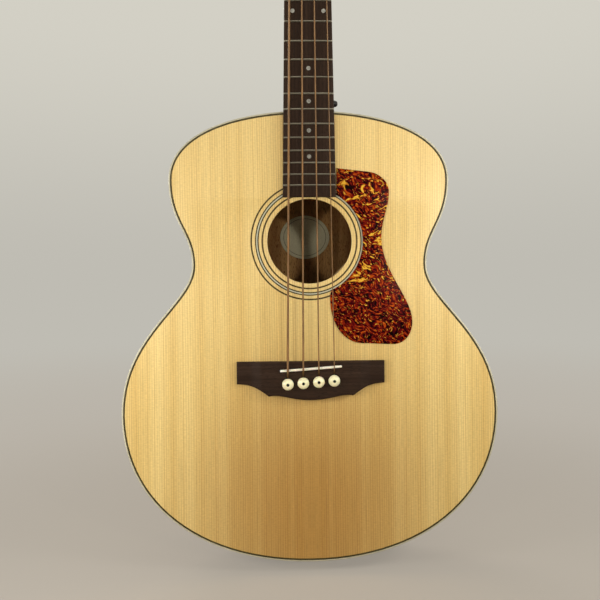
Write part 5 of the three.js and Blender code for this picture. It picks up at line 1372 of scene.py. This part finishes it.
def addTuner(string):
    name, postX, postV = string["name"], string["postX"], string["postV"]

    def at(x, y, v):
        return fromHead(postX + x, y, postV + v)

    def across(x, v, y):
        return at(x, y, v)

    near, far, middle, below = [tuner[key] for key in ("plateFront", "plateBack", "wheelMiddle", "wormBelow")]
    plateLoops = [roundedBox(*tuner["plate"]), circle(0, 0, tuner["plateHole"], 32)]
    base = slab(plateLoops, [(0, near)] + [(s, far + y) for s, y in tuner["plateEdge"]], across)
    radius, foot, ears = tuner["earRadius"], far - 0.5, []
    loop = [(foot, -radius - below), (middle, -radius - below)]
    loop += arc(middle, -below, radius, -pi / 2, pi / 2, 12)[1:-1]
    loop += [(middle, radius - below), (foot, radius - below)]
    for sign in (-1, 1):
        ears.append(slab([loop, circle(middle, -below, tuner["earHole"], facets["middle"])],
                         easedPlate(*tuner["ear"], tuner["earEdge"]), lambda y, v, x: at(sign * x, y, v)))
    screws = [turn(tuner["screw"], aboutHead(postX + x, far, postV + v), facets["small"])
              for x, v in tuner["screws"]]
    addPiece(f"tuner_base_{name}", joined(base, *ears, *screws), chrome, "chrome", [f"tuner_plate_{name}"])
    inside, outside, deep = tuner["ferruleBore"]
    sleeve = [(r, veneerFront - tuner["ferruleGap"] + y) for r, y in tuner["ferrule"]]
    sleeve += [(outside, deep), (inside, deep)]
    addPiece(f"front_ferrule_{name}", turn(sleeve, at, facets["large"]), chrome, "chrome",
             [f"tuner_ferrule_{name}"])
    addKey(string, at)
    addPost(string, at, across)


# A key: shaft through both ears, worm between them, and a clover-shaped button outside
def addKey(string, at):
    side, middle, below = string["side"], tuner["wheelMiddle"], tuner["wormBelow"]
    core, tip, width, turns = tuner["worm"]

    def turned(x, y, v):
        return at(side * x, middle + y, -below + side * v)

    end = tuner["leafX"] - tuner["leafShaft"]
    shaft = turn(tuner["shaft"] + [(2.5, end), (0, end)], lambda u, h, w: turned(h, u, w), facets["middle"])
    loop = []
    for k in range(72):
        angle = 2 * pi * k / 72
        radius = tuner["leaf"] * (1 - tuner["dip"] + tuner["dip"] * cos(3 * angle))
        loop.append((tuner["leafX"] + radius * cos(angle), radius * sin(angle)))
    levels = [(s, y - tuner["leafThickness"] / 2) for s, y in tuner["leafEdge"]]
    levels += [(s, -y) for s, y in reversed(levels)]
    leaf = slab([loop], levels, lambda x, v, y: turned(x, y, v))
    inner, count = core - tuner["wormInside"], turns * tuner["wormSteps"]
    rings = []
    for i in range(count + 1):
        share = i / count - 0.5
        angle, fade = 2 * pi * turns * share, min(1, (0.5 - abs(share)) * tuner["wormFade"])
        outer = core + (tip - core) * fade
        corners = [(inner, -width / 2), (inner, width / 2), (outer, width / 4), (outer, -width / 4)]
        rings.append([at(angle / 2 + shift, middle - radius * sin(angle), -below + radius * cos(angle))
                      for radius, shift in corners])
    addPiece(f"key_turned_{string['name']}", joined(shaft, leaf, loft(rings)), chrome, "chrome",
             [f"tuner_key_{string['name']}"], body=f"key_{string['name']}")


# A string's path round its post in the headstock's frame, the angle where it ends and its depth there
def windingOf(string):
    x, _, v = toHead(*string["nut"])
    turns, side, postX, postV = stringLook["turns"], string["side"], string["postX"], string["postV"]
    radius = stringLook["post"] + stringLook["slip"] + string["radius"]
    bend = asin(radius / hypot(postX - x, postV - v))
    first = atan2(postV - v, postX - x) + side * (bend + pi / 2)
    low = stringLook["fromVeneer"] + string["radius"]
    high = low + turns * (2 * string["radius"] + stringLook["between"])
    count = round(turns * stringLook["stepsPerTurn"])
    points = []
    for i in range(count + 1):
        angle = first - side * 2 * pi * turns * i / count
        points.append((postX + radius * cos(angle), veneerFront - low - (high - low) * i / count,
                       postV + radius * sin(angle)))
    return points, first - side * 2 * pi * turns, high


# A string post: slotted shaft, boss and brass wheel on the back
def addPost(string, at, across):
    name, middle, half = string["name"], tuner["wheelMiddle"], string["radius"] + stringLook["slip"]
    _, endAngle, high = windingOf(string)
    tip, end, radius = veneerFront - tuner["postLength"], middle + tuner["postEnd"], tuner["postHalf"]
    bossRadius, boss = tuner["boss"]
    shaft = [(r, tip + y) for r, y in tuner["postTip"]]
    shaft += [(tuner["postWaist"], veneerFront - 2), (radius, veneerFront), (radius, boss),
              (bossRadius, boss), (bossRadius, middle), (radius, middle), (radius, end - 0.6),
              (radius - 0.6, end), (0, end)]
    floor, above, wide = veneerFront - high + half, tip - tuner["cutAbove"], tuner["slotHalf"]
    along, aside = cos(endAngle), sin(endAngle)
    slot = slab([[(-wide, -half), (wide, -half), (wide, half), (-wide, half)]], [(0, above), (0, floor)],
                lambda x, v, y: at(x * along - v * aside, y, x * aside + v * along))
    well = turn(rodProfile(half, above, floor + stringLook["end"]), at, facets["small"])
    addPiece(f"post_turned_{name}", turn(shaft, at, facets["large"]), chrome, "chrome",
             [f"tuner_post_{name}"], body=f"post_{name}", cuts=[slot, well])
    pitch = 2 * pi / tuner["teeth"]
    corners = [(tuner[level], pitch / 2 - pi / 2 + pitch * (i + share))
               for i in range(tuner["teeth"]) for level, share in tuner["tooth"]]
    loops = [[(r * cos(a), r * sin(a)) for r, a in corners], circle(0, 0, radius, 32)]
    thick = tuner["wheelThickness"] / 2
    levels = easedPlate(middle - thick, middle + thick, tuner["wheelEdge"])
    addPiece(f"wheel_{name}", slab(loops, levels, across, [1, 0]), brass, "chrome", body=f"post_{name}")


for string in strings:
    addTuner(string)
print("tuners made")


# Strings: from the ball end over saddle and nut to the winding; the end in the slot turns with the post
def addString(string):
    name, radius, x, z = string["name"], string["radius"], string["saddleX"], string["holeZ"]
    postX, postV, ballY = string["postX"], string["postV"], front + stringLook["ballBelow"]
    points, _, _ = windingOf(string)
    wound = [fromHead(*p) for p in points]
    path = [(x, ballY, z), (x, front - stringLook["ramp"], z), string["bend"], string["nut"], wound[0]]
    run, flow = tube([*eased(path, stringLook["bend"]), *wound[1:]], radius)
    addPiece(f"wound_string_{name}", run, woundBronze, "bronze", [f"string_{name}"], flow=flow,
             sharp=stringLook["sharp"])
    last = points[-1]
    path = [last, (postX, last[1], postV), (postX, last[1] + stringLook["end"], postV)]
    run, flow = tube(eased([fromHead(*p) for p in path], stringLook["endBend"]), radius)
    addPiece(f"string_end_{name}", run, woundBronze, "bronze", body=f"post_{name}", flow=flow,
             sharp=stringLook["sharp"])
    bead = turn(stringLook["ball"], about(x, ballY, z + stringLook["ballShift"]), facets["middle"])
    addPiece(f"ball_end_{name}", bead, brass, "bronze")


for string in strings:
    addString(string)
print("strings made")

# Strap button with a domed end on the heel and end pin at the tail, both of turned black plastic
pinAtTail = {"reach": 14, "rim": 7, "waist": 4, "rimThickness": 3, "shank": 4, "length": 20}
buttonOnHeel = {
    "reach": 12.5, "radius": 4.8, "waist": 2.8, "dome": 0.55, "shank": 2.2, "length": 14, "rise": 15.6,
    "depth": 30,
    "domeShares": [(0, 1), (0.34, 1), (0.5, 0.945), (0.62, 0.85), (0.72, 0.72), (0.8, 0.55), (0.88, 0.35),
                   (0.955, 0.12), (0.99, 0.02)],
}


def shankOf(button):
    radius, length = button["shank"], button["length"]
    return [(radius, 0), (radius, length), (0, length)]


def tailPinProfile():
    reach, r, w, t = [pinAtTail[key] for key in ("reach", "rim", "waist", "rimThickness")]
    return [(0, -reach + 0.5), (2.2, -reach + 0.5), (2.6, -reach), (r - 1.2, -reach),
            (r - 0.35, -reach + 0.35), (r, -reach + 1.2), (r - 0.2, -reach + t * 0.8),
            (w + 0.7, -reach + 1.45 * t), (w, -reach + 1.9 * t), (w + 0.1, -t), (w + 0.9, -1.5),
            (r * 0.85, -0.4), (r * 0.85, 0), *shankOf(pinAtTail)]


def heelButtonProfile():
    reach, r, w, dome = [buttonOnHeel[key] for key in ("reach", "radius", "waist", "dome")]
    rim = -reach * (1 - dome)
    end = [(r * share, rim - reach * dome * rise) for share, rise in buttonOnHeel["domeShares"]]
    return end + [(r, rim + 0.5), (r - 0.25, rim + 1.2), (w + 0.5, rim + 1.9), (w, rim + 2.4), (w, -1.6),
                  (w + 0.5, -1.1), (r * 0.82, -0.4), (r * 0.85, 0), *shankOf(buttonOnHeel)]


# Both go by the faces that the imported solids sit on
def addButtons():
    _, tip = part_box("heel_strap_button")
    x, y = tip[0] / mm - buttonOnHeel["reach"], front + buttonOnHeel["depth"]
    z = bodyShape["top"] + buttonOnHeel["rise"]
    onHeel = turn(heelButtonProfile(), lambda u, h, w: (x - h, y + u, z + w), facets["large"])
    atTail = turn(tailPinProfile(), upright(0, bodyShape["bottom"]), facets["large"])
    addPiece("strap_button", onHeel, blackPlastic, "black_plastic", ["heel_strap_button"])
    addPiece("tail_pin", atTail, blackPlastic, "black_plastic", ["end_pin"])


addButtons()
print("strap buttons made")

# Floor: pale and plain near the part, fading into the background's own colour; lengths in metres
stage = {"horizon": "#BFBCB3", "above": "#D3D0C5", "floor": "#B8B0A5", "glow": "#B9B2A7", "fade": (0.0, 1.1),
         "least": 0.55, "away": (0.3, 3.0), "size": 12}


def addFloor():
    material, tree, shader = newMaterial("studio_floor", {
        "Roughness": 0.9, "IOR": 1.3, "Base Color": linear(stage["floor"])})
    distance = vectorNode(tree, "LENGTH", patternPlace(tree), out=1)
    fade = ranged(tree, distance, *stage["fade"], stage["least"], 1.0, "SMOOTHSTEP")
    away = ranged(tree, distance, *stage["away"], kind="SMOOTHSTEP")
    tint = mixed(tree, away, linear(stage["glow"]), linear(stage["horizon"]))
    glow = addNode(tree, "Emission", [tint, 1.0])
    seen = addNode(tree, "LightPath").node.outputs["Is Camera Ray"]     # it lights and mirrors nothing
    both = addNode(tree, "MixShader", [mathNode(tree, "MULTIPLY", fade, seen), shader.outputs[0], glow])
    tree.links.new(both, tree.nodes["Material Output"].inputs["Surface"])
    half = stage["size"] / 2
    mesh = bpy.data.meshes.new("studio_floor")
    corners = [(-half, -half, 0), (half, -half, 0), (half, half, 0), (-half, half, 0)]
    mesh.from_pydata(corners, [], [(0, 1, 2, 3)])
    mesh.materials.append(material)
    newObject("studio_floor", mesh)


# Soft light: a dim surround that is brighter above, a lamp close to each side, two small ones in front
# for the strings' shadows and one for the back; shiny surfaces mirror bright walls at the sides and above
lamps = {
    "left": {"place": (-0.5, -0.34, 0.32), "size": 0.2, "power": 1.8, "colour": "#FFFDF8"},
    "right": {"place": (0.5, -0.34, 0.48), "size": 0.2, "power": 1.9, "colour": "#FFFDF8"},
    "frontRight": {"place": (0.52, -1.0, 0.5), "size": 0.08, "power": 2.5, "colour": "#FFF4DC"},
    "frontLeft": {"place": (-0.52, -1.0, 0.4), "size": 0.08, "power": 2.0, "colour": "#FFF4DC"},
    "rear": {"place": (-0.9, 1.8, 1.3), "size": 1.0, "power": 20, "colour": "#FFF8EE"},
}
lampTarget = (0, 0, 0.35)
surround = {
    "colour": "#FFF4E0", "strength": (0.05, 0.2), "height": (0.0, 0.8), "wallHeight": (0.0, 0.4),
    "mirrored": {"colour": "#FFF8E8", "strength": 3.9, "side": (0.02, 0.24), "above": (0.1, 0.4)},
}


def addLights():
    world = bpy.data.worlds.new("studio")
    scene.world = world
    world.use_nodes = True
    tree = world.node_tree
    tree.nodes.clear()
    rays = addNode(tree, "LightPath").node.outputs
    across, _, height = addNode(tree, "SeparateXYZ", [addNode(tree, "TexCoord")]).node.outputs

    def soft(value, span, start=0.0, end=1.0):
        return ranged(tree, value, *span, start, end, "SMOOTHSTEP")

    def background(colour, strength):
        return addNode(tree, "Background", [colour, strength])

    dim = soft(height, surround["height"], *surround["strength"])
    around = background(linear(surround["colour"]), dim)
    look = surround["mirrored"]
    aside = soft(mathNode(tree, "ABSOLUTE", across), look["side"])
    walls = mathNode(tree, "MAXIMUM", aside, soft(height, look["above"]))
    shown = background(linear(look["colour"]), mathNode(tree, "MULTIPLY", walls, look["strength"]))
    wall = mixed(tree, soft(height, surround["wallHeight"]), linear(stage["horizon"]), linear(stage["above"]))
    unseen = addNode(tree, "MixShader", [rays["Is Glossy Ray"], around, shown])
    both = addNode(tree, "MixShader", [rays["Is Camera Ray"], unseen, background(wall, 1.0)])
    end = tree.nodes.new("ShaderNodeOutputWorld")
    tree.links.new(both, end.inputs["Surface"])
    for name, look in lamps.items():
        lamp = bpy.data.lights.new(name, "AREA")
        lamp.shape, lamp.size, lamp.energy = "DISK", look["size"], look["power"]
        lamp.color = linear(look["colour"])[:3]
        holder = newObject(name, lamp)
        holder.location = look["place"]
        holder.visible_camera = False
        aim = Vector(lampTarget) - Vector(look["place"])
        holder.rotation_euler = aim.to_track_quat("-Z", "Y").to_euler()


addFloor()
addLights()
print("stage and lights made")
